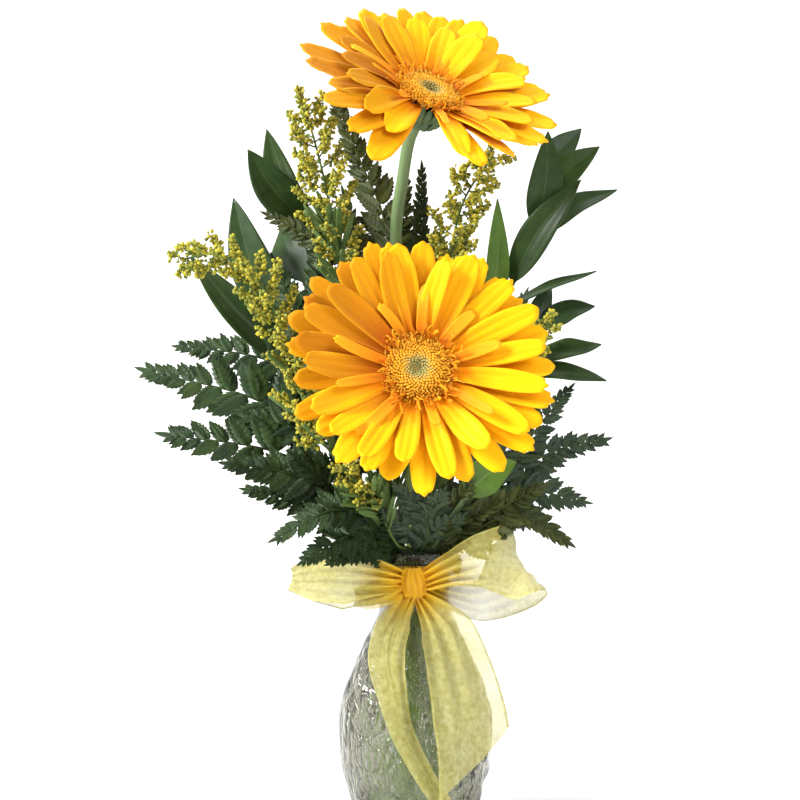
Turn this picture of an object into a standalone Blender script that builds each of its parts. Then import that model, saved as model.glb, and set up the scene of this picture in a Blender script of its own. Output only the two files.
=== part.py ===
"""Two yellow gerberas with fern, ruscus and goldenrod in a clear bud vase tied with an organza bow.

Metres, +Z up. The origin is the centre of the underside of the vase, on the surface it stands on.
The flowers face -Y. Above the neck of the vase, places are written in millimetres from the centre
of the neck, so the whole bouquet follows the vase when its height changes.
"""

import math

import bmesh
import bpy
from mathutils import Matrix, Vector

# ---------------------------------------------------------------- driving dimensions
MM = 0.001
FIT_GAP = 0.0003  # between pieces that touch on the real object

# Vase
VASE_HEIGHT = 0.128
BASE_RADIUS = 0.0205
BELLY_RADIUS = 0.0342
NECK_RADIUS = 0.0143
RIM_RADIUS = 0.0174
GLASS_WALL = 0.0023
GLASS_BASE = 0.0065
RIM_TO_NECK = 0.015
WATER_DEPTH = 0.088
VASE_SEGMENTS = 24
FOOT_ROUNDING = 0.0012  # outwards from the standing ring
RIM_ROUNDING = 0.0010
BUNDLE_SHARE = 0.86  # of the stems' spread in the water that the open room round them takes
WATER_OVER_FLOOR = 0.0018  # under the cut ends

# How far the stems spread: below as a share of their spread in the neck's bore, and in the mouth as a
# share of the mouth's own bore
BOTTOM_SPREAD = 1.2
MOUTH_SPREAD = 0.9536
MOUTH_OVER_RIM = 0.0005
STEM_FOOT = 0.0028  # from the glass floor to the cut ends

# Gerberas
GERBERA_STEM_RADIUS = 0.0025
FRONT_HEAD_RADIUS = 0.0565
UPPER_HEAD_RADIUS = 0.0565
DISC_RADIUS = 0.0135
HEAD_DEPTH = 0.0145  # from the petals back to where the stem enters the bracts
PETAL_WIDTH = 0.0118
PETAL_THICKNESS = 0.0007

# Greenery and filler
FROND_STEM = 0.0019
LEAF_THICKNESS = 0.0006
LEAFLET_LENGTH = 0.0135
LEAFLET_WIDTH = 0.0052
RUSCUS_STEM_RADIUS = 0.0012
LEAF_STALK = 0.0014
GOLDENROD_STEM = 0.0018
PLUME_WIDTH = 0.0052

# Ribbon
RIBBON_THICKNESS = 0.0006
BAND_HEIGHT = 0.012
BAND_ABOVE_NECK = 0.0035
BAND_THICKNESS = 0.0012
KNOT_SIZE = (0.0126, 0.0090, 0.0145)
KNOT_SHIFT = -0.001  # sideways of the vase's middle
LOOP_WIDTH = 0.030
TAIL_WIDTH = 0.034
FOLDED_TAIL_WIDTH = 0.0125
TAIL_STAND_OFF = 0.0016  # from the belly to the middle of a tail

# ---------------------------------------------------------------- worked out from them
NECK_HEIGHT = VASE_HEIGHT - RIM_TO_NECK
NECK_BORE = NECK_RADIUS - GLASS_WALL
MOUTH_BORE = RIM_RADIUS - GLASS_WALL

GLASS = ("glass_clear", (0.90, 0.95, 0.93), 0.05)
WATER = ("water_clear", (0.80, 0.90, 0.86), 0.02)
ORGANZA = ("organza_yellow", (0.93, 0.86, 0.36), 0.55)
PETAL = ("petal_yellow", (0.98, 0.62, 0.02), 0.55)
DISC = ("disc_olive", (0.55, 0.50, 0.16), 0.70)
CALYX = ("calyx_green", (0.28, 0.38, 0.22), 0.70)
STEM = ("stem_green", (0.42, 0.56, 0.32), 0.60)
FERN = ("fern_green", (0.07, 0.15, 0.06), 0.55)
RUSCUS = ("ruscus_green", (0.09, 0.20, 0.06), 0.40)
GOLDENROD = ("goldenrod_yellow", (0.72, 0.62, 0.08), 0.80)


# ---------------------------------------------------------------- helpers
def clear_scene():
    for thing in list(bpy.data.objects):
        bpy.data.objects.remove(thing, do_unlink=True)


def material(finish):
    name, colour, roughness = finish
    found = bpy.data.materials.get(name)
    if found:
        return found
    made = bpy.data.materials.new(name)
    made.use_nodes = True
    shader = made.node_tree.nodes["Principled BSDF"]
    shader.inputs["Base Color"].default_value = (*colour, 1.0)
    shader.inputs["Roughness"].default_value = roughness
    shader.inputs["Metallic"].default_value = 0.0
    return made


def new_object(name, bm, finish, place=None, smooth=True):
    mesh = bpy.data.meshes.new(name)
    bm.to_mesh(mesh)
    bm.free()
    if smooth:
        mesh.shade_smooth()
    mesh.materials.append(material(finish))
    made = bpy.data.objects.new(name, mesh)
    if place is not None:
        made.matrix_world = place
    bpy.context.scene.collection.objects.link(made)
    return made


def over_neck(x, y, z):
    """A place given in millimetres from the centre of the neck."""
    return Vector((x * MM, y * MM, NECK_HEIGHT + z * MM))


def fine_curve(points):
    """A curve through the points in short steps, with the distance from its start to each."""
    ends = [2 * points[0] - points[1], *points, 2 * points[-1] - points[-2]]
    fine = []
    for a, b, c, d in zip(ends, ends[1:], ends[2:], ends[3:]):
        for step in range(12):
            t = step / 12
            fine.append(
                0.5 * (2 * b + (c - a) * t + (2 * a - 5 * b + 4 * c - d) * t**2
                       + (3 * b - a - 3 * c + d) * t**3)
            )
    fine.append(points[-1])
    reach = [0.0]
    for a, b in zip(fine, fine[1:]):
        reach.append(reach[-1] + (b - a).length)
    return fine, reach


def read_off(fine, reach, places):
    """The points of a fine curve at these distances from its start."""
    path = []
    piece = 0
    for wanted in places:
        while piece < len(fine) - 2 and reach[piece + 1] < wanted:
            piece += 1
        share = (wanted - reach[piece]) / max(reach[piece + 1] - reach[piece], 1e-9)
        path.append(fine[piece].lerp(fine[piece + 1], share))
    return path


def smooth_path(points, count):
    """A curve through the points, read off at equal steps of its length."""
    fine, reach = fine_curve(points)
    return read_off(fine, reach, [reach[-1] * k / (count - 1) for k in range(count)])


def steps_back(points, step):
    """A curve through the points, read off at steps back from its tip, so that a plant keeps its
    shape above the neck whatever length of stalk stands in the vase."""
    fine, reach = fine_curve(points)
    steps = int(reach[-1] / step - 0.5)
    return read_off(fine, reach, [0.0, *(reach[-1] - step * k for k in range(steps, -1, -1))])


def along(path, k):
    return (path[min(k + 1, len(path) - 1)] - path[max(k - 1, 0)]).normalized()


def length_of(path):
    return sum((b - a).length for a, b in zip(path, path[1:]))


def point_back(path, steps):
    """The point this many steps back from the tip of a path, and the direction there."""
    place = len(path) - 1 - steps
    k = min(int(place), len(path) - 2)
    return path[k].lerp(path[k + 1], place - k), along(path, k)


def turned(bm, profile, segments):
    """A closed solid turned about Z from (radius, height) points; a radius of 0 lies on the axis."""
    rings = []
    for radius, height in profile:
        if radius == 0:
            rings.append([bm.verts.new((0, 0, height))] * segments)
            continue
        angles = [2 * math.pi * k / segments for k in range(segments)]
        rings.append([bm.verts.new((radius * math.cos(a), radius * math.sin(a), height)) for a in angles])
    for lower, upper in zip(rings, rings[1:] + rings[:1]):
        for k in range(segments):
            corners = (lower[k], lower[(k + 1) % segments], upper[(k + 1) % segments], upper[k])
            distinct = list(dict.fromkeys(corners))
            if len(distinct) > 2:
                bm.faces.new(distinct)


def facing(place, direction):
    """A matrix that puts local +Z along the direction, with local +Y as near to up as it can be."""
    z_axis = direction.normalized()
    x_axis = Vector((0, 0, 1)).cross(z_axis).normalized()
    y_axis = z_axis.cross(x_axis)
    return Matrix.Translation(place) @ Matrix((x_axis, y_axis, z_axis)).transposed().to_4x4()


# ---------------------------------------------------------------- limbs
# A limb is a run of four-cornered rings skinned together. A corner list goes round the limb with the
# growth direction towards the viewer, from its side and upper corner. A side of one run of a limb
# can be left open and the next limb grown from its four corners, so each plant is one closed body.
def ring_at(bm, centre, direction, normal, width, thickness):
    side = normal.cross(direction).normalized()
    up = direction.cross(side).normalized()
    corners = ((1, 1), (-1, 1), (-1, -1), (1, -1))
    return [bm.verts.new(centre + side * (a * width / 2) + up * (b * thickness / 2)) for a, b in corners]


def skin(bm, lower, upper, open_side=None):
    for k in range(4):
        if k != open_side:
            bm.faces.new((lower[k], lower[(k + 1) % 4], upper[(k + 1) % 4], upper[k]))


def side_corners(lower, upper, side):
    """The open side's corners in a ring's own order; side is 0 top, 1 left, 2 under or 3 right."""
    a, b = side, (side + 1) % 4
    if side in (1, 0):
        return [upper[a], lower[a], lower[b], upper[b]]
    return [lower[b], upper[b], upper[a], lower[a]]


def normal_of(corners):
    return (corners[0].co - corners[3].co + corners[1].co - corners[2].co).normalized()


def middle_of(corners):
    return sum((v.co for v in corners), Vector()) / 4


def grow(bm, corners, path, widths, thicknesses, normal, closed_end=True):
    """Grows one limb along the path from the four corners it starts on."""
    rings = [corners]
    for k, (centre, width, thickness) in enumerate(zip(path, widths, thicknesses)):
        before = middle_of(corners) if k == 0 else path[k - 1]
        after = path[min(k + 1, len(path) - 1)]
        rings.append(ring_at(bm, centre, (after - before).normalized(), normal, width, thickness))
        skin(bm, rings[-2], rings[-1])
    if closed_end:
        bm.faces.new(rings[-1])
    return rings


def leaflet(bm, corners, direction, size, width):
    """A pointed leaflet, widest a third of the way out."""
    root = middle_of(corners)
    normal = normal_of(corners)
    droop = -normal * size * 0.10
    path = [root + direction * size * 0.38 + droop * 0.2, root + direction * size + droop]
    grow(bm, corners, path, (width, width * 0.16), (LEAF_THICKNESS, LEAF_THICKNESS * 0.8), normal)


def rachis(bm, corners, path, normal, leaflets, size):
    """A frond's axis grown from its corners,
    with leaflets on alternate sides from the share leaflets on."""
    last = len(path) - 1
    lower = corners
    for k in range(1, len(path)):
        share = k / last
        width = FROND_STEM * (0.85 - 0.5 * share)
        upper = ring_at(bm, path[k], along(path, k), normal, width, max(width, LEAF_THICKNESS))
        bears = share > leaflets and k < last
        side = (1 if k % 2 else 3) if bears else None
        skin(bm, lower, upper, side)
        if bears:
            start = side_corners(lower, upper, side)
            forward = along(path, k)
            out = normal.cross(forward).normalized() * (1 if side == 3 else -1)
            place = (share - leaflets) / (1 - leaflets)
            fullness = size * (0.62 + 0.38 * math.sin(math.pi * min(1,
            0.25 + place))) * (1 - 0.55 * place**3)
            lean = math.radians(62 - 22 * place)
            heading = (out * math.sin(lean) + forward * math.cos(lean)).normalized()
            leaflet(bm, start, heading, LEAFLET_LENGTH * fullness, LEAFLET_WIDTH * fullness)
        lower = upper
    tip = along(path, last)
    leaflet(bm, lower, tip, LEAFLET_LENGTH * size * 0.55, LEAFLET_WIDTH * size * 0.5)


# ---------------------------------------------------------------- vase, water and ribbon
def wall_stations():
    """(height, outside radius) up the glass from above its foot to below its rim."""
    to_belly = ((0.10, 0.52), (0.24, 0.87), (0.39, 1.0))
    to_neck = ((0.52, 0.06), (0.64, 0.30), (0.76, 0.63), (0.88, 0.90), (1.0, 1.0))
    rise = BELLY_RADIUS - BASE_RADIUS
    fall = NECK_RADIUS - BELLY_RADIUS
    flare = RIM_RADIUS - NECK_RADIUS
    stations = [(NECK_HEIGHT * up, BASE_RADIUS + rise * out) for up, out in to_belly]
    stations += [(NECK_HEIGHT * up, BELLY_RADIUS + fall * back) for up, back in to_neck]
    return [*stations, (NECK_HEIGHT + 0.6 * RIM_TO_NECK, NECK_RADIUS + 0.35 * flare)]


def vase_radius(height):
    """The outside radius of the glass at a height."""
    stations = [(0.0, BASE_RADIUS + FOOT_ROUNDING), *wall_stations(), (VASE_HEIGHT, RIM_RADIUS)]
    for (z0, r0), (z1, r1) in zip(stations, stations[1:]):
        if height <= z1:
            return r0 + (r1 - r0) * (height - z0) / (z1 - z0)
    return RIM_RADIUS


def make_vase():
    lip = 0.8 * RIM_ROUNDING
    below_lip = VASE_HEIGHT - RIM_ROUNDING
    outer = [(BASE_RADIUS, 0.0), (BASE_RADIUS + FOOT_ROUNDING, FOOT_ROUNDING / 1.5)]
    outer += [(radius, height) for height, radius in wall_stations()]
    outer += [(RIM_RADIUS, below_lip), (RIM_RADIUS - lip, VASE_HEIGHT)]
    inner = [(RIM_RADIUS - GLASS_WALL + lip, VASE_HEIGHT), (RIM_RADIUS - GLASS_WALL, below_lip)]
    inner += [(radius - GLASS_WALL, height) for height, radius in reversed(wall_stations())]
    inner += [(vase_radius(GLASS_BASE) - 2 * GLASS_WALL, GLASS_BASE), (0, GLASS_BASE)]
    bm = bmesh.new()
    turned(bm, [(0, 0.0), *outer, *inner], VASE_SEGMENTS)
    new_object("vase", bm, GLASS)


def make_water():
    """The water stands round the bundle of stems, and the bundle's own room in it is left open."""
    level = GLASS_BASE + WATER_DEPTH
    room = NECK_BORE * BOTTOM_SPREAD * BUNDLE_SHARE + FROND_STEM
    floor = GLASS_BASE + FIT_GAP
    clear = GLASS_WALL + FIT_GAP
    lowest, highest = GLASS_BASE + GLASS_WALL, level - 2 * GLASS_WALL
    wall = [(vase_radius(floor) - 2 * clear, floor)]
    wall += [(radius - clear, height) for height, radius in wall_stations() if lowest < height < highest]
    rim = vase_radius(level) - clear
    top = [(rim, level), (min(room, rim - MM), level)]
    bottom = floor + WATER_OVER_FLOOR
    well = [(room, NECK_HEIGHT * 0.64), (room, bottom), (0, bottom)]
    bm = bmesh.new()
    turned(bm, [(0, floor), *wall, *top, *well], VASE_SEGMENTS)
    new_object("water", bm, WATER)


def make_neck_band():
    middle = NECK_HEIGHT + BAND_ABOVE_NECK
    heights = [middle + BAND_HEIGHT * s for s in (-0.5, -0.17, 0.17, 0.5)]
    bulge = (0.3, 1.0, 1.0, 0.3)
    outer = [(vase_radius(z) + FIT_GAP + BAND_THICKNESS * b, z) for z, b in zip(heights, bulge)]
    inner = [(vase_radius(z) + FIT_GAP, z) for z in reversed(heights)]
    bm = bmesh.new()
    turned(bm, outer + inner, VASE_SEGMENTS)
    new_object("ribbon_neck_band", bm, ORGANZA)


def knot_place():
    """The knot's middle, with the back of the knot against the front of the band."""
    height = NECK_HEIGHT + BAND_ABOVE_NECK
    front = vase_radius(height) + BAND_THICKNESS + 2 * FIT_GAP
    return Vector((KNOT_SHIFT, -(front + KNOT_SIZE[1] / 2), height))


def make_knot():
    bm = bmesh.new()
    bmesh.ops.create_uvsphere(bm, u_segments=14, v_segments=9, radius=0.5)
    bmesh.ops.scale(bm, vec=KNOT_SIZE, verts=bm.verts)
    new_object("ribbon_knot", bm, ORGANZA, Matrix.Translation(knot_place()))


def ribbon(name, points, leans, widths, count):
    """A strip along the points; leans are the directions its width takes at each of them."""
    path = smooth_path(points, count)
    bm = bmesh.new()
    lower = None
    for k, centre in enumerate(path):
        share = k / (count - 1) * (len(points) - 1)
        at = min(int(share), len(points) - 2)
        across = leans[at].lerp(leans[at + 1], share - at).normalized()
        width = widths[at] + (widths[at + 1] - widths[at]) * (share - at)
        direction = along(path, k)
        normal = direction.cross(across).normalized()
        upper = ring_at(bm, centre, direction, normal, width, RIBBON_THICKNESS)
        if lower is None:
            bm.faces.new(upper[::-1])
        else:
            skin(bm, lower, upper)
        lower = upper
    bm.faces.new(lower)
    new_object(name, bm, ORGANZA, smooth=False)


def make_bow():
    beside = KNOT_SIZE[0] / 2 + 2 * FIT_GAP
    near = knot_place()

    def from_knot(x, y, z):
        return near + Vector((x, y, z)) * MM

    upright = Vector((0, 0.15, 1))
    leaning = Vector((-0.05, 0.55, 1))
    ribbon(
        "bow_loop_left",
        [near + Vector((-beside, -0.0012, 0.001)), from_knot(-20, -6, 3), from_knot(-38, -8, 3),
         from_knot(-53, -2, 1), from_knot(-49, 5, 0), from_knot(-34, 7, -1), from_knot(-20, 3.5, 0),
         near + Vector((-beside, 0.0018, -0.001))],
        [upright, leaning, leaning, leaning, leaning, leaning, leaning, upright],
        [0.008, 0.020, LOOP_WIDTH * 0.93, LOOP_WIDTH, LOOP_WIDTH, LOOP_WIDTH * 0.93, 0.018, 0.007],
        25,
    )
    rising = Vector((-0.55, 0.25, 1))
    falling = Vector((0.25, 0.35, 1))
    ribbon(
        "bow_loop_right",
        [near + Vector((beside, -0.0012, 0.001)), from_knot(20, -5, 8), from_knot(36, -7, 9),
         from_knot(50, -1, 1), from_knot(44, 6, -5), from_knot(32, 7, -7), from_knot(19, 3.5, -4),
         near + Vector((beside, 0.0018, -0.001))],
        [upright, rising, rising, rising, falling, falling, falling, upright],
        [0.008, 0.021, LOOP_WIDTH, LOOP_WIDTH, LOOP_WIDTH, LOOP_WIDTH * 0.95, 0.018, 0.007],
        22,
    )
    below = KNOT_SIZE[2] * 0.45 + 2 * FIT_GAP
    flat = Vector((1, 0, 0))
    turned_back = Vector((1, 0.35, 0))
    stand_off = -BELLY_RADIUS - TAIL_STAND_OFF

    def on_belly(x, drop):
        """A place on the ribbon where it hangs against the front of the glass."""
        return Vector((x * MM, stand_off, NECK_HEIGHT - drop * MM))

    ribbon(
        "ribbon_tail_left",
        [near + Vector((-0.0029, -0.001, -below)), Vector((-0.009, -0.0275, NECK_HEIGHT - 0.015)),
         Vector((-0.0119, -0.031, NECK_HEIGHT - 0.029)), on_belly(-8.6, 47), on_belly(-5.3, 60),
         on_belly(2.0, 74), on_belly(9.2, 85), on_belly(13.5, 92)],
        [flat, flat, flat, Vector((1, 0, -0.2)), Vector((1, 0, 0.2)), Vector((1, 0, 0.4)),
         Vector((1, 0, 0.5)), Vector((1, 0, 0.5))],
        [0.005, FOLDED_TAIL_WIDTH, FOLDED_TAIL_WIDTH, 0.0105, 0.0105, 0.010, 0.009, 0.007],
        22,
    )
    ribbon(
        "ribbon_tail_right",
        [near + Vector((0.0029, -0.001, -below)), Vector((0.0135, -0.0295, NECK_HEIGHT - 0.016)),
         Vector((0.0198, -0.0345, NECK_HEIGHT - 0.034)), on_belly(23.6, 51) - Vector((0, 0.001, 0)),
         on_belly(25.4, 66), on_belly(24.0, 80)],
        [flat, turned_back, turned_back, turned_back, turned_back, Vector((1, 0.35, 0.9))],
        [0.005, TAIL_WIDTH * 0.80, TAIL_WIDTH * 0.92, TAIL_WIDTH, TAIL_WIDTH, TAIL_WIDTH * 0.9],
        18,
    )


# ---------------------------------------------------------------- stems
def stem_route(slot, points):
    """From the cut end near the glass floor, through the neck at the slot, to the places above it."""
    share, angle = slot
    place = Vector((math.cos(math.radians(angle)), math.sin(math.radians(angle)), 0)) * share * NECK_BORE
    foot = place * BOTTOM_SPREAD + Vector((0, 0, GLASS_BASE + STEM_FOOT))
    waist = place * (1 + (BOTTOM_SPREAD - 1) * 0.45) + Vector((0, 0, NECK_HEIGHT * 0.55))
    neck = place + Vector((0, 0, NECK_HEIGHT))
    mouth = place / NECK_BORE * MOUTH_BORE * MOUTH_SPREAD + Vector((0, 0, VASE_HEIGHT + MOUTH_OVER_RIM))
    return [foot, waist, neck, mouth, *points]


def round_stem(name, route, radius, step, sides, finish):
    path = steps_back(route, step * MM)
    bm = bmesh.new()
    rings = []
    side = Vector((1, 0, 0))
    for k, centre in enumerate(path):
        direction = along(path, k)
        side = (side - direction * side.dot(direction)).normalized()
        other = direction.cross(side)
        angles = [2 * math.pi * j / sides for j in range(sides)]
        rings.append([bm.verts.new(centre + (side * math.cos(a) + other * math.sin(a)) * radius)
                      for a in angles])
    for lower, upper in zip(rings, rings[1:]):
        for j in range(sides):
            bm.faces.new((lower[j], lower[(j + 1) % sides], upper[(j + 1) % sides], upper[j]))
    bm.faces.new(rings[0][::-1])
    bm.faces.new(rings[-1])
    new_object(name, bm, finish)
    return path


# ---------------------------------------------------------------- gerberas
# A head is built facing +Z with z = 0 at the roots of its petals, then turned to face its own way.
HUB_STEP = 0.0014  # each whorl of petals sits this far in front of the one behind it
BACK_WHORL = (20, 1.00, 4.0)  # petals, length as a share of the head's, lift in degrees
FRONT_WHORL = (16, 0.90, 15.0)
SHORT_WHORL = (14, 0.44, 33.0)


def whorl(name, place, head_radius, level, hub_radius, petals, reach, lift, width):
    """A ring of petals joined at a thin hub. Neighbours stand a little higher and lower in turn."""
    bm = bmesh.new()
    top = level * HUB_STEP
    bottom = top - HUB_STEP + FIT_GAP
    corners = []
    bore = hub_radius * 0.35
    for k in range(petals):
        angle = 2 * math.pi * k / petals
        out = Vector((math.cos(angle), math.sin(angle), 0))
        corners.append([bm.verts.new(out * r + Vector((0, 0, z)))
                        for r, z in ((hub_radius, top), (bore, top), (bore, bottom),
                        (hub_radius, bottom))])
    for k in range(petals):
        here, there = corners[k], corners[(k + 1) % petals]
        for j in range(3):
            bm.faces.new((here[j], there[j], there[j + 1], here[j + 1]))
        root = [there[0], here[0], here[3], there[3]]
        angle = 2 * math.pi * (k + 0.5) / petals
        out = Vector((math.cos(angle), math.sin(angle), 0))
        rise = math.radians(lift + (3.0 if k % 2 else -3.0))
        heading = out * math.cos(rise) + Vector((0, 0, math.sin(rise)))
        normal = heading.cross(Vector((0, 0, 1)).cross(out)).normalized()
        length = head_radius * reach * (1.0 - 0.05 * (k % 3)) - hub_radius
        start = middle_of(root)
        path = [start + heading * length * s - normal * length * 0.10 * s**2 for s in (0.55, 0.88, 1.0)]
        grow(bm, root, path, (width, width * 0.95, width * 0.45), (PETAL_THICKNESS,) * 3, normal)
    new_object(name, bm, PETAL, place)


def make_gerbera(prefix, centre, normal, head_radius, slot, step, points):
    place = facing(centre, normal)
    crook, foot_of_head = (centre - normal.normalized() * (HEAD_DEPTH + d) for d in (0.008, 2 * FIT_GAP))
    route = stem_route(slot, [*points, crook, foot_of_head])
    round_stem(prefix + "_stem", route, GERBERA_STEM_RADIUS, step, 8, STEM)
    back = -2 * HUB_STEP
    bm = bmesh.new()
    cup = [(0, -HEAD_DEPTH), (GERBERA_STEM_RADIUS * 1.25, -HEAD_DEPTH),
           (DISC_RADIUS * 0.55, -HEAD_DEPTH * 0.80), (DISC_RADIUS * 0.80, -HEAD_DEPTH * 0.50),
           (DISC_RADIUS * 0.84, back), (0, back)]
    turned(bm, cup, 16)
    new_object(prefix + "_calyx", bm, CALYX, place)
    rings = (("_petals_back", -1, BACK_WHORL, 0.80, 1.0), ("_petals_front", 0, FRONT_WHORL, 0.76, 0.98),
             ("_petals_short", 1, SHORT_WHORL, 0.74, 0.42))
    for ending, level, (petals, reach, lift), hub, width in rings:
        whorl(prefix + ending, place, head_radius, level, DISC_RADIUS * hub, petals, reach, lift,
              PETAL_WIDTH * width)
    base = HUB_STEP + FIT_GAP
    bm = bmesh.new()
    dome = [(0, base), (DISC_RADIUS * 0.66, base), (DISC_RADIUS * 0.62, base + 0.0016),
            (DISC_RADIUS * 0.40, base + 0.0030), (0, base + 0.0026)]
    turned(bm, dome, 16)
    new_object(prefix + "_disc", bm, DISC, place)


def make_gerberas():
    make_gerbera(
        "front_gerbera", over_neck(0.7, -60, 99), Vector((0.02, -0.94, 0.33)), FRONT_HEAD_RADIUS,
        (0.39, -79), 15.254, [over_neck(0.8, -7.5, 32), over_neck(0.6, -12, 55), over_neck(0.5, -20, 75),
                              over_neck(0.4, -31, 86)],
    )
    make_gerbera(
        "upper_gerbera", over_neck(5.1, -30, 211), Vector((0.35, -0.50, 0.79)), UPPER_HEAD_RADIUS,
        (0.205, 117), 21.929, [over_neck(-3, 1, 60), over_neck(-7, -3, 115), over_neck(-8.3, -8, 155),
                               over_neck(-5.2, -14, 179)],
    )


# ---------------------------------------------------------------- ferns
# Each fern is one body: a stalk from the vase that becomes the main axis. It is counted in steps back
# from its tip: its last steps are leafy, and side fronds leave it at the steps given, each from one
# side, towards its own tip and at its own size.
FERNS = {
    "fern_left": dict(
        slot=(0.80, 195), step=6.0389,
        route=[(-18, -10, 22), (-28, -18, 40), (-36, -20, 61), (-41, -14, 82), (-47, -7, 100),
               (-56, -2, 120)],
        faces=(0.15, -1, 0.25), leafy=4, size=0.8,
        fronds=[(13, 1, (-104, -33, 69), 1.0), (10, 1, (-114, -20, 95), 1.05),
                (5, 1, (-102, -7, 105), 0.75), (11, 3, (-12, -16, 72), 0.8)],
    ),
    "fern_front_left": dict(
        slot=(0.80, 226), step=4.8810,
        route=[(-14, -16, 20), (-22, -26, 33), (-31, -36, 38), (-42, -43, 36), (-58, -44, 27)],
        faces=(0.1, -0.8, 0.5), leafy=9, size=0.95,
        fronds=[(11, 1, (-47, -49, 18), 0.85), (12, 3, (-70, -37, 46), 0.9)],
    ),
    "fern_left_high": dict(
        slot=(0.80, 145), step=7.0849,
        route=[(-16, 6, 50), (-27, 4, 100), (-35, 1, 135), (-43, 0, 150), (-64, 1, 162)],
        faces=(0, -1, 0.3), leafy=7, size=0.8, fronds=[],
    ),
    "fern_back_left": dict(
        slot=(0.80, 120), step=8.0423,
        route=[(-8, 14, 60), (-10, 22, 110), (-13.4, 26, 158), (-23.8, 30, 185), (-35, 30, 212)],
        faces=(0, -1, 0.1), leafy=15, size=1.15, fronds=[(14, 3, (22, 27, 150), 0.8)],
    ),
    "fern_back_centre": dict(
        slot=(0.80, 103), step=7.1574,
        route=[(-1, 13, 70), (1, 14, 120), (2.3, 12, 150), (3.2, 15, 182)],
        faces=(0.5, -1, 0), leafy=12, size=0.75, fronds=[],
    ),
    "fern_back_right": dict(
        slot=(0.86, 47), step=6.1513,
        route=[(16, 17, 40), (26, 26, 75), (34, 31, 105), (40, 34, 135)],
        faces=(-0.3, -1, 0), leafy=16, size=1.15, fronds=[],
    ),
    "fern_right": dict(
        slot=(0.80, -14), step=5.2052,
        route=[(20, -4, 22), (36, -4, 42), (52, -2, 54), (68, 0, 60.5), (82, 0, 63)],
        faces=(0, -1, 0.3), leafy=8, size=0.9,
        fronds=[(10, 3, (74, -9, 37), 0.8), (9, 1, (68, 0, 86), 0.7)],
    ),
    "fern_right_low": dict(
        slot=(0.80, -35), step=4.6863,
        route=[(20, -13, 20), (33, -19, 30), (46, -22, 34), (65, -22, 22)],
        faces=(0, -0.9, 0.5), leafy=11, size=1.0, fronds=[],
    ),
    "fern_front_centre": dict(
        slot=(0.80, -80), step=4.0334,
        route=[(3.5, -14, 18), (5.5, -20, 26), (4, -28, 38), (1.9, -32, 50)],
        faces=(0.1, -0.8, -0.5), leafy=7, size=0.75, fronds=[],
    ),
}


def make_fern(name, step, slot, route, faces, leafy, size, fronds):
    route = stem_route(slot, [over_neck(*p) for p in route])
    normal = Vector(faces).normalized()
    path = steps_back(route, step * MM)
    last = len(path) - 1
    stations = {last - back: (side, tip, scale) for back, side, tip, scale in fronds}
    bm = bmesh.new()
    lower = ring_at(bm, path[0], along(path, 0), normal, FROND_STEM, FROND_STEM)
    bm.faces.new(lower[::-1])
    bare = last - leafy
    for k in range(1, bare + 1):
        upper = ring_at(bm, path[k], along(path, k), normal, FROND_STEM * 0.95, FROND_STEM * 0.95)
        side, tip, scale = stations.get(k, (None, None, None))
        skin(bm, lower, upper, side)
        if side is not None:
            corners = side_corners(lower, upper, side)
            start = middle_of(corners)
            end = over_neck(*tip)
            middle = start.lerp(end, 0.45) + Vector((0, 0, 0.06 * (end - start).length))
            steps = 2 * round(length_of([start, end]) / (LEAFLET_WIDTH * 1.32)) // 2
            branch = smooth_path([start, middle, end], max(steps, 8))
            rachis(bm, corners, branch, normal, 0.14, scale)
        lower = upper
    rest = path[bare:]
    tail = smooth_path(rest, max(6, 2 * round(length_of(rest) / (LEAFLET_WIDTH * 1.4)) // 2))
    rachis(bm, lower, tail, normal, 0.02, size)
    new_object(name, bm, FERN, smooth=False)


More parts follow.
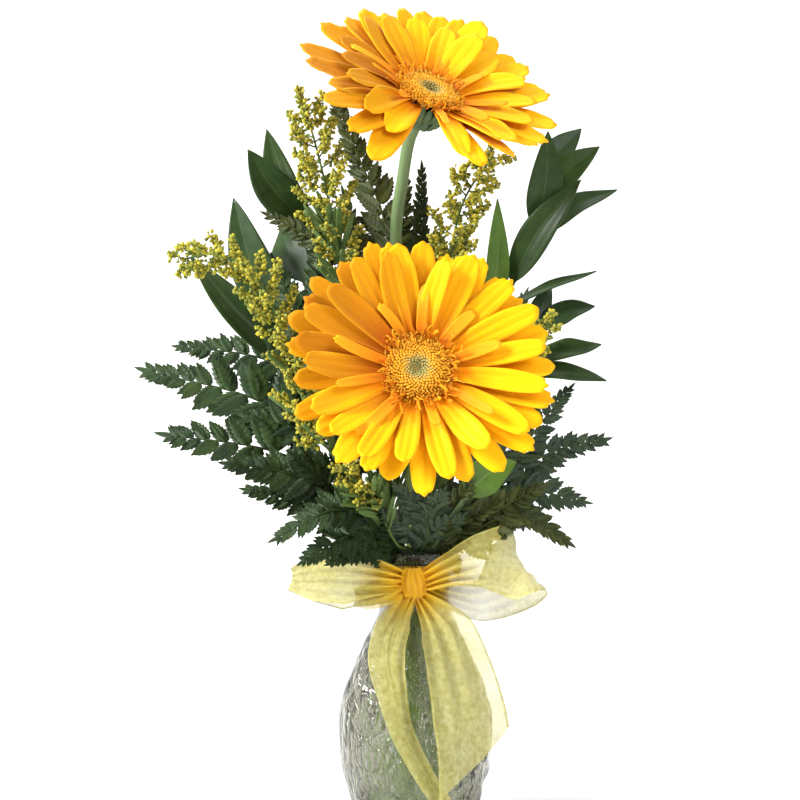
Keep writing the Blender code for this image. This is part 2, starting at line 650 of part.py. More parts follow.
# ---------------------------------------------------------------- ruscus
# Each branch is a round stem, and each of its leaves is a piece of its own that starts at the stem:
# steps back from the stem's tip, tip, width, sideways bow and the way the upper face looks.
RUSCUS_BRANCHES = {
    "ruscus_left": dict(
        slot=(0.80, 165), step=19.624,
        route=[(-20, 2, 35), (-35, 2, 70), (-47, 3, 98), (-48, 4, 125), (-44, 7, 150), (-42, 10, 162)],
        leaves=[(3.64, (-97.5, -7, 144), 17, 5, (0.3, -1, 0.5)),
                (2.94, (-80.4, 13, 169.6), 21, 5, (-0.3, -1, 0.1)),
                (0.35, (-73.6, 10, 190.8), 18, 4, (0.2, -1, 0.4)),
                (0.84, (-66.3, 24, 200.5), 15, 3, (0, -1, 0.3)),
                (1.68, (-58, 40, 166), 17, 4, (-0.5, 0.3, 1))],
    ),
    "ruscus_right_upper": dict(
        slot=(0.80, 30), step=20.660,
        route=[(14, 4, 50), (23, 3, 90), (34, 1, 118), (45.3, -1, 137.5), (53.2, 1, 160), (57, 6, 176)],
        leaves=[(1.19, (56.9, -10, 197.6), 15, -2, (0.1, -1, 0)),
                (0.14, (74.1, 20, 200.5), 13, 3, (-0.2, -1, 0)),
                (0.49, (80.9, 7, 192), 13, 2, (-0.2, -1, 0.2)),
                (1.33, (89.2, 10, 173.2), 12, 3, (0, -0.7, 0.7)),
                (2.52, (70.8, -13, 177), 15, 2, (-0.4, -1, 0.2)),
                (2.94, (78.8, -5, 137.7), 9, -3, (0, -0.4, 1)),
                (3.64, (35.5, -8, 169), 11, -2, (0.3, -1, 0))],
    ),
    "ruscus_right_lower": dict(
        slot=(0.80, 8), step=16.387,
        route=[(17, 0, 35), (30, -3, 65), (43, -5, 88), (51, -4, 105), (54, -3, 116)],
        leaves=[(0.35, (78.5, -3, 122.4), 12, 3, (-0.2, -0.8, 0.6)),
                (0.98, (81, -8, 105.9), 13, -2, (0, -0.6, 0.8)),
                (1.54, (83.7, -5, 89.9), 10, 2, (0, -0.7, 0.7)),
                (0.63, (60, 6, 131), 11, 2, (0.3, -1, 0)),
                (2.24, (54, -13, 70), 10, 2, (0.2, -1, 0.3))],
    ),
    "ruscus_low": dict(
        slot=(0.80, 302), step=10.881,
        route=[(8.5, -14, 19), (15, -21, 31), (21, -24, 40)],
        leaves=[(0, (43, -27, 57), 16, 3, (0.1, -1, 0.2))],
    ),
}


def leaf_width(share, width):
    """The outline of a lance-shaped leaf on a short stalk."""
    stalk = 0.09
    if share < stalk:
        return LEAF_STALK
    place = min(1.0, (share - stalk) / (1 - stalk))
    return max(LEAF_STALK, width * math.sin(math.pi * place**0.78) ** 0.85)


def make_leaf(name, start, heading, stem_radius, tip, width, bow, faces):
    out = (tip - start).normalized()
    out = (out - heading * out.dot(heading)).normalized()
    base = start + out * (stem_radius + FIT_GAP + LEAF_STALK / 4)
    normal = Vector(faces).normalized()
    across = normal.cross((tip - base).normalized()).normalized()
    middle = base.lerp(tip, 0.5) + across * bow + normal * 0.05 * (tip - base).length
    path = smooth_path([base, middle, tip], 7)
    bm = bmesh.new()
    lower = None
    for k, centre in enumerate(path):
        broad = leaf_width(k / (len(path) - 1), width)
        upper = ring_at(bm, centre, along(path, k), normal, broad, LEAF_THICKNESS)
        if lower is None:
            bm.faces.new(upper[::-1])
        else:
            skin(bm, lower, upper)
        lower = upper
    bm.faces.new(lower)
    new_object(name, bm, RUSCUS)


def make_ruscus():
    for branch, plan in RUSCUS_BRANCHES.items():
        route = stem_route(plan["slot"], [over_neck(*p) for p in plan["route"]])
        path = round_stem(branch + "_stem", route, RUSCUS_STEM_RADIUS, plan["step"], 6, STEM)
        for number, (back, tip, width, bow, faces) in enumerate(plan["leaves"], 1):
            start, heading = point_back(path, back)
            make_leaf(f"{branch}_leaf_{number}", start, heading, RUSCUS_STEM_RADIUS, over_neck(*tip),
                      width * MM, bow * MM, faces)


# ---------------------------------------------------------------- goldenrod
# One body each: a stalk whose flowering part, counted in steps back from its tip, bears short plumes
# on all four sides in turn.
GOLDENROD_SPRIGS = {
    "goldenrod_left": dict(
        slot=(0.53, 195), step=1.4886,
        route=[(-16, -12, 28), (-32, -25, 55), (-45, -30, 75), (-50, -31, 95), (-56, -31, 113),
               (-66, -31, 134), (-82, -31, 145), (-99, -31, 143)],
        flowering=76, reach=13,
    ),
    "goldenrod_top": dict(
        slot=(0.52, 160), step=1.6016,
        route=[(-14, 1, 50), (-25, -3, 100), (-33, -7, 145), (-40, -6, 180), (-48, -3, 210)],
        flowering=48, reach=13,
    ),
    "goldenrod_centre": dict(
        slot=(0.54, 25), step=1.4948,
        route=[(9, 0, 60), (11, -3, 110), (15, -5, 142), (21, -4, 168), (34, 0, 188)],
        flowering=48, reach=12,
    ),
    "goldenrod_low": dict(
        slot=(0.80, 252), step=0.8991,
        route=[(-8, -18, 20), (-16, -29, 36), (-24, -38, 48), (-31, -40, 57)],
        flowering=30, reach=6,
    ),
    "goldenrod_right": dict(
        slot=(0.53, -12), step=1.1832,
        route=[(14, -5, 30), (28, -12, 62), (44, -14, 92), (55, -14, 111), (59, -13, 118)],
        flowering=20, reach=6,
    ),
}
PLUME_STEP = 0.0052


def make_goldenrod(name, step, slot, route, flowering, reach):
    route = stem_route(slot, [over_neck(*p) for p in route])
    full = steps_back(route, step * MM)
    bare = len(full) - 1 - flowering
    stalk = smooth_path(full[: bare + 1], 14)
    bearing = full[bare:]
    rings = round(length_of(bearing) / (PLUME_STEP / 2)) // 2 * 2 + 1
    bearing = smooth_path(bearing, max(5, rings))
    normal = Vector((0, -1, 0))
    bm = bmesh.new()
    lower = ring_at(bm, stalk[0], along(stalk, 0), normal, GOLDENROD_STEM, GOLDENROD_STEM)
    bm.faces.new(lower[::-1])
    for k in range(1, len(stalk)):
        upper = ring_at(bm, stalk[k], along(stalk, k), normal, GOLDENROD_STEM, GOLDENROD_STEM)
        skin(bm, lower, upper)
        lower = upper
    turns = (3, 0, 1, 2)
    last = len(bearing) - 1
    for k in range(1, len(bearing)):
        share = k / last
        size = GOLDENROD_STEM * (1 - 0.45 * share)
        upper = ring_at(bm, bearing[k], along(bearing, k), normal, size, size)
        side = turns[(k // 2) % 4] if k % 2 and k < last else None
        skin(bm, lower, upper, side)
        if side is not None:
            corners = side_corners(lower, upper, side)
            root = middle_of(corners)
            forward = along(bearing, k)
            out = (root - (bearing[k - 1] + bearing[k]) / 2).normalized()
            length = reach * MM * (0.55 + 0.45 * math.sin(math.pi * (0.15 + 0.85 * share)))
            heading = (out * 0.78 + forward * 0.62).normalized()
            path = [root + heading * length * s for s in (0.55, 1.0)]
            broad = min(PLUME_WIDTH, PLUME_STEP * 0.95) * (0.75 + 0.25 * math.sin(math.pi * share))
            widths = (broad, broad * 0.4)
            grow(bm, corners, path, widths, widths, normal_of(corners))
        lower = upper
    tip = along(bearing, last)
    path = [bearing[-1] + tip * s * MM for s in (2, 5, 8)]
    grow(bm, lower, path, (0.003, 0.0035, 0.0012), (0.003, 0.0035, 0.0012), normal)
    new_object(name, bm, GOLDENROD, smooth=False)


def main():
    clear_scene()
    make_vase()
    make_water()
    make_neck_band()
    make_knot()
    make_bow()
    make_gerberas()
    for name, plan in FERNS.items():
        make_fern(name, **plan)
    make_ruscus()
    for name, plan in GOLDENROD_SPRIGS.items():
        make_goldenrod(name, **plan)


main()
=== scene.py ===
"""The looks of two yellow gerberas with fern, ruscus and goldenrod in a glass vase with an organza bow.

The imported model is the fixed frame. Each of its nodes is stood for by a detailed piece made here in mesh
code, in metres, +Z up, with the flowers facing -Y. Places above the neck of the vase are written in
millimetres from the middle of the neck, as in the model.
"""

import math

import bpy
import numpy as np
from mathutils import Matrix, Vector


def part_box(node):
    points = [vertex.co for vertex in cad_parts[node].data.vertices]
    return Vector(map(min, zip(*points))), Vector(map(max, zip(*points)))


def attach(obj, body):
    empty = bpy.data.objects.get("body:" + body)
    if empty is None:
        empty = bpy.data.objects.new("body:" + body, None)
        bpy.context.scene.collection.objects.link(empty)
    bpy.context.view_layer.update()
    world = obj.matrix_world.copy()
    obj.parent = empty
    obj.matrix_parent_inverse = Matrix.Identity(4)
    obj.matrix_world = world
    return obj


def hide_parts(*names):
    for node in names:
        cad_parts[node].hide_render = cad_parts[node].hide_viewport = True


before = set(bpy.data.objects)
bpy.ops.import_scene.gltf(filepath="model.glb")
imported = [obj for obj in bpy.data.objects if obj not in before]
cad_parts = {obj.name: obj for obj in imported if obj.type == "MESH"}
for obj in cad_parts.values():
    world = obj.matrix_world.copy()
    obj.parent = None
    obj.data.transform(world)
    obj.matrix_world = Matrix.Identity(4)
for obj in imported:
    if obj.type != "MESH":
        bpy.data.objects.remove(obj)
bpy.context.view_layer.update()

# ---------------------------------------------------------------- sizes
MM = 0.001
VASE_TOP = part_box("vase")[1]
VASE_HEIGHT = VASE_TOP.z
BELLY_RADIUS = VASE_TOP.x
RIM_TO_NECK = 15 * MM
NECK_HEIGHT = VASE_HEIGHT - RIM_TO_NECK
BASE_RADIUS = 20.5 * MM
NECK_RADIUS = 14.3 * MM
RIM_RADIUS = 17.4 * MM
GLASS_WALL = 2.3 * MM
GLASS_BASE = 6.5 * MM
FLOOR_CURVE = 1.8 * MM  # by which the glass floor rises to the wall
FOOT_ROUNDING = 1.2 * MM
DIMPLES = 95
DIMPLE_DEPTH = 0.85 * MM
NECK_BORE = NECK_RADIUS - GLASS_WALL
WATER_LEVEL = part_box("water")[1].z
STEM_SPREAD = 1.2  # of the stems below the neck and above it
GERBERA_STEM_RADIUS = 2.5 * MM
BRANCH_RADIUS = 1.2 * MM
DISC_RADIUS = 13.5 * MM
HEAD_DEPTH = 14.5 * MM
SHADED_SIDE = 150.0  # the side of a head whose petals are painted a deeper orange as painted shade, in degrees
PETAL_THICKNESS = 0.45 * MM
LEAFLET_THICKNESS = 0.35 * MM
LEAF_THICKNESS = 0.5 * MM
LOOP_GATHERED_OVER = 30 * MM  # the length over which the ribbon keeps the deep colour of the knot
TAIL_GATHERED_OVER = 24 * MM
KNOT = (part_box("ribbon_knot")[0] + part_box("ribbon_knot")[1]) / 2
KNOT_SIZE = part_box("ribbon_knot")[1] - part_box("ribbon_knot")[0]

rng = np.random.default_rng(7)
between = rng.uniform


# ---------------------------------------------------------------- paths
def unit(v):
    v = np.asarray(v, float)
    return v / np.maximum(np.linalg.norm(v, axis=-1, keepdims=True), 1e-12)


def over_neck(points):
    """Places given in millimetres from the centre of the neck."""
    return np.asarray(points, float) * MM + (0, 0, NECK_HEIGHT)


def smooth_path(points, count):
    """A curve through the points, read off at equal steps of its length."""
    points = np.asarray(points, float)
    ends = np.vstack([2 * points[0] - points[1], points, 2 * points[-1] - points[-2]])
    t = np.linspace(0, 1, 24, endpoint=False)[:, None]
    spans = [
        0.5 * (2 * b + (c - a) * t + (2 * a - 5 * b + 4 * c - d) * t**2 + (3 * b - a - 3 * c + d) * t**3)
        for a, b, c, d in zip(ends, ends[1:], ends[2:], ends[3:])
    ]
    fine = np.vstack([*spans, points[-1:]])
    reach = run_of(fine)
    wanted = np.linspace(0, reach[-1], count)
    return np.stack([np.interp(wanted, reach, fine[:, k]) for k in range(3)], axis=1)


def run_of(path):
    """The length along a path up to each of its points."""
    return np.concatenate([[0], np.cumsum(np.linalg.norm(np.diff(path, axis=0), axis=1))])


def on_path(path, share):
    """The point at a share of a path's length, and the direction there."""
    reach = run_of(path)
    directions = np.gradient(path, axis=0)
    at = share * reach[-1]
    point = np.array([np.interp(at, reach, path[:, k]) for k in range(3)])
    return point, unit([np.interp(at, reach, directions[:, k]) for k in range(3)])


def stem_route(slot, points):
    """From the cut end near the glass floor, through the neck at the slot, to the places above it."""
    share, angle = slot
    place = np.array([math.cos(math.radians(angle)), math.sin(math.radians(angle)), 0]) * share * NECK_BORE
    foot = place * STEM_SPREAD + (0, 0, GLASS_BASE + 2.8 * MM)
    waist = place * (1 + (STEM_SPREAD - 1) * 0.45) + (0, 0, NECK_HEIGHT * 0.55)
    neck = place + (0, 0, NECK_HEIGHT)
    mouth = place * STEM_SPREAD + (0, 0, VASE_HEIGHT + 0.5 * MM)
    return np.vstack([foot, waist, neck, mouth, points])


# ---------------------------------------------------------------- mesh code
def grid_quads(rows, columns, around=False):
    index = np.arange(rows * columns).reshape(rows, columns)
    if around:
        index = np.hstack([index, index[:, :1]])
    corners = (index[:-1, :-1], index[:-1, 1:], index[1:, 1:], index[1:, :-1])
    return np.stack(corners, axis=-1).reshape(-1, 4)


def cap_quads(sides):
    """Closes a ring with an even number of points by a ladder of quads."""
    rungs = np.arange(sides // 2 - 1)
    return np.stack([rungs, rungs + 1, sides - 2 - rungs, sides - 1 - rungs], axis=-1)


def stack_quads(rings, sides):
    """A closed body of rings, one over the other, with a cap at each end."""
    cap = cap_quads(sides)
    return np.vstack([grid_quads(rings, sides, around=True), cap[:, ::-1], cap + (rings - 1) * sides])


def rings_about(profile, sides):
    """Rings about Z from a list of (radius, height)."""
    radii, heights = np.array(profile).T
    turn = np.linspace(0, 2 * math.pi, sides, endpoint=False)
    return np.stack([radii[:, None] * np.cos(turn), radii[:, None] * np.sin(turn),
                     heights[:, None] + 0 * turn], axis=-1)


def grid_places(rows, columns):
    """Coordinates across and along a grid, from 0 to 1."""
    across, along = np.meshgrid(np.linspace(0, 1, columns), np.linspace(0, 1, rows))
    return np.stack([across, along], axis=-1)


class Skin:
    """Gathers quads into one mesh. Each leaf or stem has coordinates across and along it, and a tone."""

    def __init__(self):
        self.points, self.quads, self.places, self.tones = [], [], [], []
        self.count = 0

    def add(self, points, quads, places, tones):
        points = points.reshape(-1, 3)
        self.points.append(points)
        self.quads.append(np.asarray(quads).reshape(-1, 4) + self.count)
        self.places.append(np.broadcast_to(places, (*places.shape[:-1], 2)).reshape(-1, 2))
        self.tones.append(np.broadcast_to(tones, len(points)))
        self.count += len(points)

    def slab(self, surface, thickness, tone):
        """A closed thin solid about a grid of points."""
        rows, columns = surface.shape[:2]
        normal = unit(np.cross(np.gradient(surface, axis=1), np.gradient(surface, axis=0)))
        both = np.stack([surface + normal * thickness / 2, surface - normal * thickness / 2])
        index = np.arange(rows * columns).reshape(rows, columns)
        rim = np.concatenate([index[0, :-1], index[:-1, -1], index[-1, :0:-1], index[:0:-1, 0]])
        after = np.roll(rim, -1)
        under = rows * columns
        top = grid_quads(rows, columns)
        sides = np.stack([rim, rim + under, after + under, after], axis=-1)
        places = grid_places(rows, columns)
        self.add(both, np.vstack([top, top[:, ::-1] + under, sides]), np.stack([places, places]), tone)

    def sheet(self, surface, tone):
        """A single layer through a grid of points."""
        rows, columns = surface.shape[:2]
        self.add(surface, grid_quads(rows, columns), grid_places(rows, columns), tone)

    def stack(self, rings, tone):
        """A closed body through a stack of rings."""
        self.add(rings, stack_quads(*rings.shape[:2]), grid_places(*rings.shape[:2]), tone)

    def tube(self, path, radii, tone, sides=8):
        """A closed round limb along a path."""
        directions = unit(np.gradient(path, axis=0))
        side = unit(np.cross(directions[0], (1e-3, 2e-3, 1.0)))
        frames = []
        for direction in directions:
            side = unit(side - direction * np.dot(side, direction))
            frames.append((side, np.cross(direction, side)))
        frames = np.array(frames)
        turn = np.linspace(0, 2 * math.pi, sides, endpoint=False)
        radii = np.broadcast_to(radii, len(path))[:, None, None]
        rings = path[:, None] + radii * (
            np.cos(turn)[None, :, None] * frames[:, None, 0]
            + np.sin(turn)[None, :, None] * frames[:, None, 1]
        )
        self.stack(rings, tone)

    def buds(self, centres, directions, lengths, radii, tones, profile, sides=6):
        """Many small turned bodies. profile is a list of (height, radius) shares, from the base up."""
        heights, widths = np.array(profile).T
        directions = unit(directions)
        side = unit(np.cross(directions, (0.31, 0.52, 0.79)))
        other = np.cross(directions, side)
        turn = np.linspace(0, 2 * math.pi, sides, endpoint=False)[None, :, None]
        round_it = np.cos(turn) * side[:, None] + np.sin(turn) * other[:, None]
        centres = np.asarray(centres)[:, None, None]
        lengths = np.broadcast_to(lengths, len(directions))[:, None, None, None]
        radii = np.broadcast_to(radii, len(directions))[:, None, None, None]
        rings = (centres + heights[None, :, None, None] * lengths * directions[:, None, None]
                 + widths[None, :, None, None] * radii * round_it[:, None])
        each = len(profile) * sides
        quads = stack_quads(len(profile), sides)[None] + (np.arange(len(directions)) * each)[:, None, None]
        places = np.broadcast_to(grid_places(len(profile), sides), (*rings.shape[:3], 2))
        self.add(rings, quads, places, np.repeat(np.broadcast_to(tones, len(directions)), each))

    def build(self, name, material, nodes):
        points, quads = np.concatenate(self.points), np.concatenate(self.quads)
        mesh = bpy.data.meshes.new(name)
        mesh.vertices.add(len(points))
        mesh.vertices.foreach_set("co", points.astype(np.float32).ravel())
        mesh.loops.add(quads.size)
        mesh.loops.foreach_set("vertex_index", quads.astype(np.int32).ravel())
        mesh.polygons.add(len(quads))
        mesh.polygons.foreach_set("loop_start", np.arange(0, quads.size, 4, dtype=np.int32))
        mesh.update(calc_edges=True)
        mesh.validate()
        places = np.concatenate(self.places)[quads.ravel()]
        mesh.uv_layers.new(name="leaf").data.foreach_set("uv", places.astype(np.float32).ravel())
        tone = mesh.attributes.new("tone", "FLOAT", "POINT")
        tone.data.foreach_set("value", np.concatenate(self.tones).astype(np.float32))
        mesh.shade_smooth()
        mesh.materials.append(material)
        made = bpy.data.objects.new(name, mesh)
        bpy.context.scene.collection.objects.link(made)
        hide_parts(*nodes)
        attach(made, "root")
        return made


# ---------------------------------------------------------------- materials
class Finish:
    """A Principled material, with short ways to add the nodes that drive it."""

    def __init__(self, name, **values):
        self.material = bpy.data.materials.new(name)
        self.material.use_nodes = True
        self.tree = self.material.node_tree
        self.shader = self.tree.nodes["Principled BSDF"]
        for socket, value in values.items():
            self.set(socket.replace("_", " "), value)

    def set(self, socket, value):
        self.join(self.shader.inputs[socket], value)

    def join(self, socket, value):
        if isinstance(value, bpy.types.NodeSocket):
            self.tree.links.new(value, socket)
        else:
            socket.default_value = value

    def add(self, kind, inputs=(), **settings):
        node = self.tree.nodes.new("ShaderNode" + kind)
        for key, value in settings.items():
            setattr(node, key, value)
        for key, value in dict(inputs).items():
            self.join(node.inputs[key], value)
        return node

    def across_along(self):
        uv = self.add("UVMap", uv_map="leaf").outputs["UV"]
        parts = self.add("SeparateXYZ", {"Vector": uv}).outputs
        return parts["X"], parts["Y"]

    def tone(self):
        return self.add("Attribute", attribute_name="tone").outputs["Fac"]

    def place(self):
        return self.add("TexCoord").outputs["Object"]

    def vector(self, x, y, z=0.0):
        return self.add("CombineXYZ", {"X": x, "Y": y, "Z": z}).outputs["Vector"]

    def noise(self, scale, vector=None, detail=3.0, rough=0.55):
        inputs = {"Vector": self.place() if vector is None else vector, "Scale": scale, "Detail": detail,
                  "Roughness": rough}
        return self.add("TexNoise", inputs).outputs["Fac"]

    def maths(self, operation, a, b=0.0, clamp=False):
        return self.add("Math", {0: a, 1: b}, operation=operation, use_clamp=clamp).outputs[0]

    def times(self, a, b, clamp=False):
        return self.maths("MULTIPLY", a, b, clamp)

    def plus(self, a, b, clamp=False):
        return self.maths("ADD", a, b, clamp)

    def tinted(self, share, colour, tint):
        """colour, multiplied by a tint where share is high"""
        return self.mix(share, colour, self.mix(1.0, colour, tint, "MULTIPLY"))

    def mix(self, share, a, b, blend="MIX"):
        node = self.add("Mix", data_type="RGBA", blend_type=blend)
        self.join(node.inputs["Factor"], share)
        self.join(node.inputs[6], a)
        self.join(node.inputs[7], b)
        return node.outputs[2]

    def ramp(self, share, stops):
        node = self.add("ValToRGB", {"Fac": share})
        while len(node.color_ramp.elements) < len(stops):
            node.color_ramp.elements.new(0.5)
        for element, (place, colour) in zip(node.color_ramp.elements, stops):
            element.position = place
            element.color = colour if len(colour) == 4 else (*colour, 1)
        return node.outputs["Color"]

    def level(self, share, low, high):
        """share from 0..1 to low..high"""
        return self.add("MapRange", {"Value": share, "To Min": low, "To Max": high}).outputs["Result"]

    def bump(self, height, distance, strength=1.0):
        made = self.add("Bump", {"Height": height, "Distance": distance, "Strength": strength})
        self.set("Normal", made.outputs["Normal"])


# a pale bright green painted on stems in the water: painted light, standing in for the light that does not
# reach them through the glass
LIT_STEM_IN_WATER = (0.50, 0.78, 0.16, 1)
PALING = 6 * MM  # the height below the neck over which the painted light on a stem fades in


def edge_distance(f, across):
    """0 along the middle and 1 at both edges."""
    return f.maths("ABSOLUTE", f.maths("SUBTRACT", f.times(across, 2.0), 1.0))


def painted_light_in_water(f, colour):
    """Below the neck of the vase stems are painted a pale bright green: painted light, standing in for the
    light that does not reach them through the glass.
    """
    height = f.add("SeparateXYZ", {"Vector": f.place()}).outputs["Z"]
    sunk = f.maths("DIVIDE", f.maths("SUBTRACT", NECK_HEIGHT, height), PALING, clamp=True)
    return f.mix(sunk, colour, LIT_STEM_IN_WATER)


def petal_finish(name, base, body, tip):
    """Yellow with long streaks, more orange at the root, and a darker orange on a petal of high tone, which
    is painted shade on one side of a head and random variation among petals.
    """
    f = Finish(name, Subsurface_Weight=0.22, Subsurface_Radius=(0.9, 0.40, 0.05), Subsurface_Scale=1.6 * MM,
               Roughness=0.55, Specular_IOR_Level=0.10, Sheen_Weight=0.03, Sheen_Roughness=0.5)
    across, along = f.across_along()
    ground = f.ramp(along, [(0.0, base), (0.22, base), (0.52, body), (0.9, tip), (1.0, tip)])
    streak = f.noise(1.0, f.vector(f.times(across, 22.0), f.times(along, 1.6), f.tone()), detail=4)
    shaded = f.tinted(f.level(streak, -0.35, 0.62), ground, (0.90, 0.58, 0.35, 1))
    # painted shade: a high tone darkens a petal towards orange
    toned = f.tinted(f.tone(), shaded, (0.47, 0.31, 0.25, 1))
    margin = f.maths("POWER", edge_distance(f, across), 9.0)
    f.set("Base Color", f.mix(f.times(margin, 0.3), toned, (0.95, 0.50, 0.01, 1)))
    f.bump(streak, 0.25 * MM, 0.6)
    return f.material


def leaf_finish(name, dark, light, rib, roughness, coat=0.0, veins=9.0, rib_share=0.95, relief=0.22):
    """Mottled green with a paler rib along the middle and slanting veins."""
    f = Finish(name, Subsurface_Weight=0.08, Subsurface_Radius=(0.4, 0.9, 0.2), Subsurface_Scale=1.0 * MM,
               Specular_IOR_Level=0.22, Coat_Weight=coat, Coat_Roughness=0.30)
    across, along = f.across_along()
    mottle = f.noise(170.0, detail=5)
    ground = f.mix(f.level(mottle, -0.25, 0.95), (*dark, 1), (*light, 1))
    toned = f.tinted(f.tone(), ground, (1.55, 1.35, 0.85, 1))
    middle = f.maths("SUBTRACT", 1.0, edge_distance(f, across))
    on_rib = f.maths("GREATER_THAN", middle, rib_share)
    f.set("Base Color", painted_light_in_water(f, f.mix(f.times(on_rib, 0.55), toned, (*rib, 1))))
    slant = f.plus(f.times(along, veins), f.times(middle, veins * 0.35))
    vein = f.maths("POWER", f.maths("ABSOLUTE", f.maths("SINE", f.times(slant, math.pi))), 0.5)
    f.set("Roughness", f.level(mottle, roughness - 0.08, roughness + 0.14))
    f.bump(f.plus(vein, f.times(mottle, 0.4)), relief * MM, 0.8)
    return f.material


def stem_finish(name, low, high):
    """Green that changes from a pale low colour at the foot of the vase upwards, with long streaks; the pale
    low colour is painted light for the stems inside the glass.
    """
    f = Finish(name, Specular_IOR_Level=0.4, Subsurface_Weight=0.08, Subsurface_Radius=(0.5, 0.9, 0.3),
               Subsurface_Scale=1.2 * MM)
    across, along = f.across_along()
    streak = f.noise(1.0, f.vector(f.times(across, 14.0), f.times(along, 9.0)), detail=4)
    ground = f.mix(f.times(along, 1.6, clamp=True), (*low, 1), (*high, 1))
    f.set("Base Color", f.tinted(f.level(streak, -0.2, 0.8), ground, (0.62, 0.70, 0.60, 1)))
    f.set("Roughness", f.level(streak, 0.4, 0.65))
    f.bump(streak, 0.25 * MM)
    return f.material


def bud_finish(name, low, high):
    """Small buds, coloured by their tone from low to high and speckled."""
    f = Finish(name, Subsurface_Weight=0.15, Subsurface_Radius=(0.8, 0.6, 0.1), Subsurface_Scale=0.8 * MM,
               Specular_IOR_Level=0.3)
    speck = f.noise(900.0, detail=3)
    ground = f.mix(f.tone(), (*low, 1), (*high, 1))
    f.set("Base Color", painted_light_in_water(f, f.tinted(f.level(speck, -0.1, 0.75), ground, (0.72, 0.62, 0.5, 1))))
    f.set("Roughness", f.level(speck, 0.6, 0.85))
    f.bump(speck, 0.2 * MM)
    return f.material


def organza_finish(name, dense, thin, low, high):
    """A sheer weave: fine threads both ways, brighter selvedges, and the ground showing between."""
    f = Finish(name, Roughness=0.36, Sheen_Weight=0.06, Sheen_Roughness=0.4, Specular_IOR_Level=0.45)
    across, along = f.across_along()
    warp = f.maths("SINE", f.times(across, 2 * math.pi * 62))
    weft = f.maths("SINE", f.times(along, 2 * math.pi * 150))
    weave = f.plus(f.times(f.plus(warp, weft), 0.25), 0.5, clamp=True)
    crinkle = f.noise(420.0, detail=5, rough=0.7)
    cloud = f.noise(45.0, detail=2)
    selvedge = f.maths("GREATER_THAN", edge_distance(f, across), 0.945)
    sheer = f.plus(f.level(cloud, low - 0.15, high + 0.15), f.times(weave, 0.14), clamp=True)
    sheer = f.plus(sheer, f.times(f.tone(), 0.45), clamp=True)
    f.set("Alpha", f.maths("MAXIMUM", sheer, f.times(selvedge, 0.93)))
    colour = f.mix(f.level(crinkle, -0.8, 1.8), (*dense, 1), (*thin, 1))
    golden = f.mix(f.times(f.tone(), 1.6, clamp=True), colour, (0.80, 0.52, 0.015, 1))
    deep = f.maths("POWER", f.tone(), 4.0)
    f.set("Base Color", f.mix(deep, golden, (0.98, 0.50, 0.008, 1)))
    f.bump(f.plus(crinkle, f.times(weave, 0.35)), 0.5 * MM, 0.9)
    return f.material


def glass_finish():
    """Clear glass with creases, a little longer up and down than across."""
    f = Finish("vase_glass", Transmission_Weight=1.0, IOR=1.5, Base_Color=(0.62, 0.605, 0.53, 1))
    parts = f.add("SeparateXYZ", {"Vector": f.place()}).outputs
    drawn = f.vector(parts["X"], parts["Y"], f.times(parts["Z"], 0.6))
    swirl = f.noise(125.0, drawn, detail=4, rough=0.55)
    crease = f.maths("ABSOLUTE", f.maths("SUBTRACT", f.times(swirl, 2.0), 1.0))
    ripple = f.plus(f.maths("POWER", crease, 0.7), f.times(swirl, 0.5))
    f.set("Roughness", f.level(f.noise(60.0, detail=2), 0.0, 0.03))
    f.bump(ripple, 1.6 * MM, 1.0)
    return f.material


def water_finish():
    f = Finish("vase_water", Transmission_Weight=1.0, IOR=1.33, Base_Color=(0.955, 0.98, 0.955, 1))
    f.set("Roughness", f.level(f.noise(40.0, detail=1), 0.0, 0.015))
    return f.material


def fern_finish(name, dark, light, rib, roughness, coat):
    return leaf_finish(name, dark, light, rib, roughness, coat, relief=0.07)


PETALS = petal_finish("petal_yellow", (0.82, 0.27, 0.001), (0.93, 0.46, 0.001), (0.95, 0.52, 0.002))
CURLED = petal_finish("floret_orange", (0.70, 0.20, 0.004), (0.86, 0.31, 0.005), (0.93, 0.42, 0.01))
DISC_BUDS = bud_finish("disc_florets", (0.40, 0.37, 0.13), (0.84, 0.42, 0.02))
CALYX = leaf_finish("calyx_bracts", (0.045, 0.085, 0.045), (0.11, 0.16, 0.09), (0.15, 0.21, 0.12), 0.6,
                    veins=2.0, rib_share=0.94)
FERN_LEAVES = fern_finish("fern_leaves", (0.008, 0.022, 0.006), (0.028, 0.058, 0.014), (0.04, 0.08, 0.028),
                          0.50, 0.04)
OLD_FERN_LEAVES = fern_finish("fern_leaves_olive", (0.018, 0.030, 0.006), (0.060, 0.075, 0.016),
                              (0.08, 0.10, 0.03), 0.52, 0.03)
# a lighter, greyer copy of the fern leaves: painted light for fronds that stand in the light, besides a real
# gloss from its coat
LIT_FERN_LEAVES = fern_finish("fern_leaves_lit", (0.010, 0.026, 0.012), (0.045, 0.072, 0.038),
                               (0.07, 0.11, 0.06), 0.42, 0.12)
RUSCUS_LEAVES = leaf_finish("ruscus_leaves", (0.008, 0.024, 0.005), (0.026, 0.060, 0.012), (0.05, 0.09, 0.03),
                            0.42, coat=0.05, veins=0.0, rib_share=0.965)
BRIGHT_LEAVES = leaf_finish("ruscus_leaves_bright", (0.035, 0.085, 0.012), (0.075, 0.15, 0.028),
                            (0.12, 0.20, 0.06), 0.42, coat=0.12, veins=0.0, rib_share=0.96)
# the pale first colour of each stem is painted light for its part inside the glass
GERBERA_STEM = stem_finish("gerbera_stem", (0.78, 0.96, 0.14), (0.145, 0.22, 0.085))
BRANCH_STEM = stem_finish("branch_stem", (0.46, 0.70, 0.10), (0.05, 0.09, 0.02))
GOLDENROD = bud_finish("goldenrod_buds", (0.085, 0.15, 0.035), (0.58, 0.51, 0.045))
ORGANZA = organza_finish("organza_bow", (0.36, 0.32, 0.04), (0.62, 0.58, 0.21), 0.46, 0.80)
GLASS = glass_finish()
WATER = water_finish()


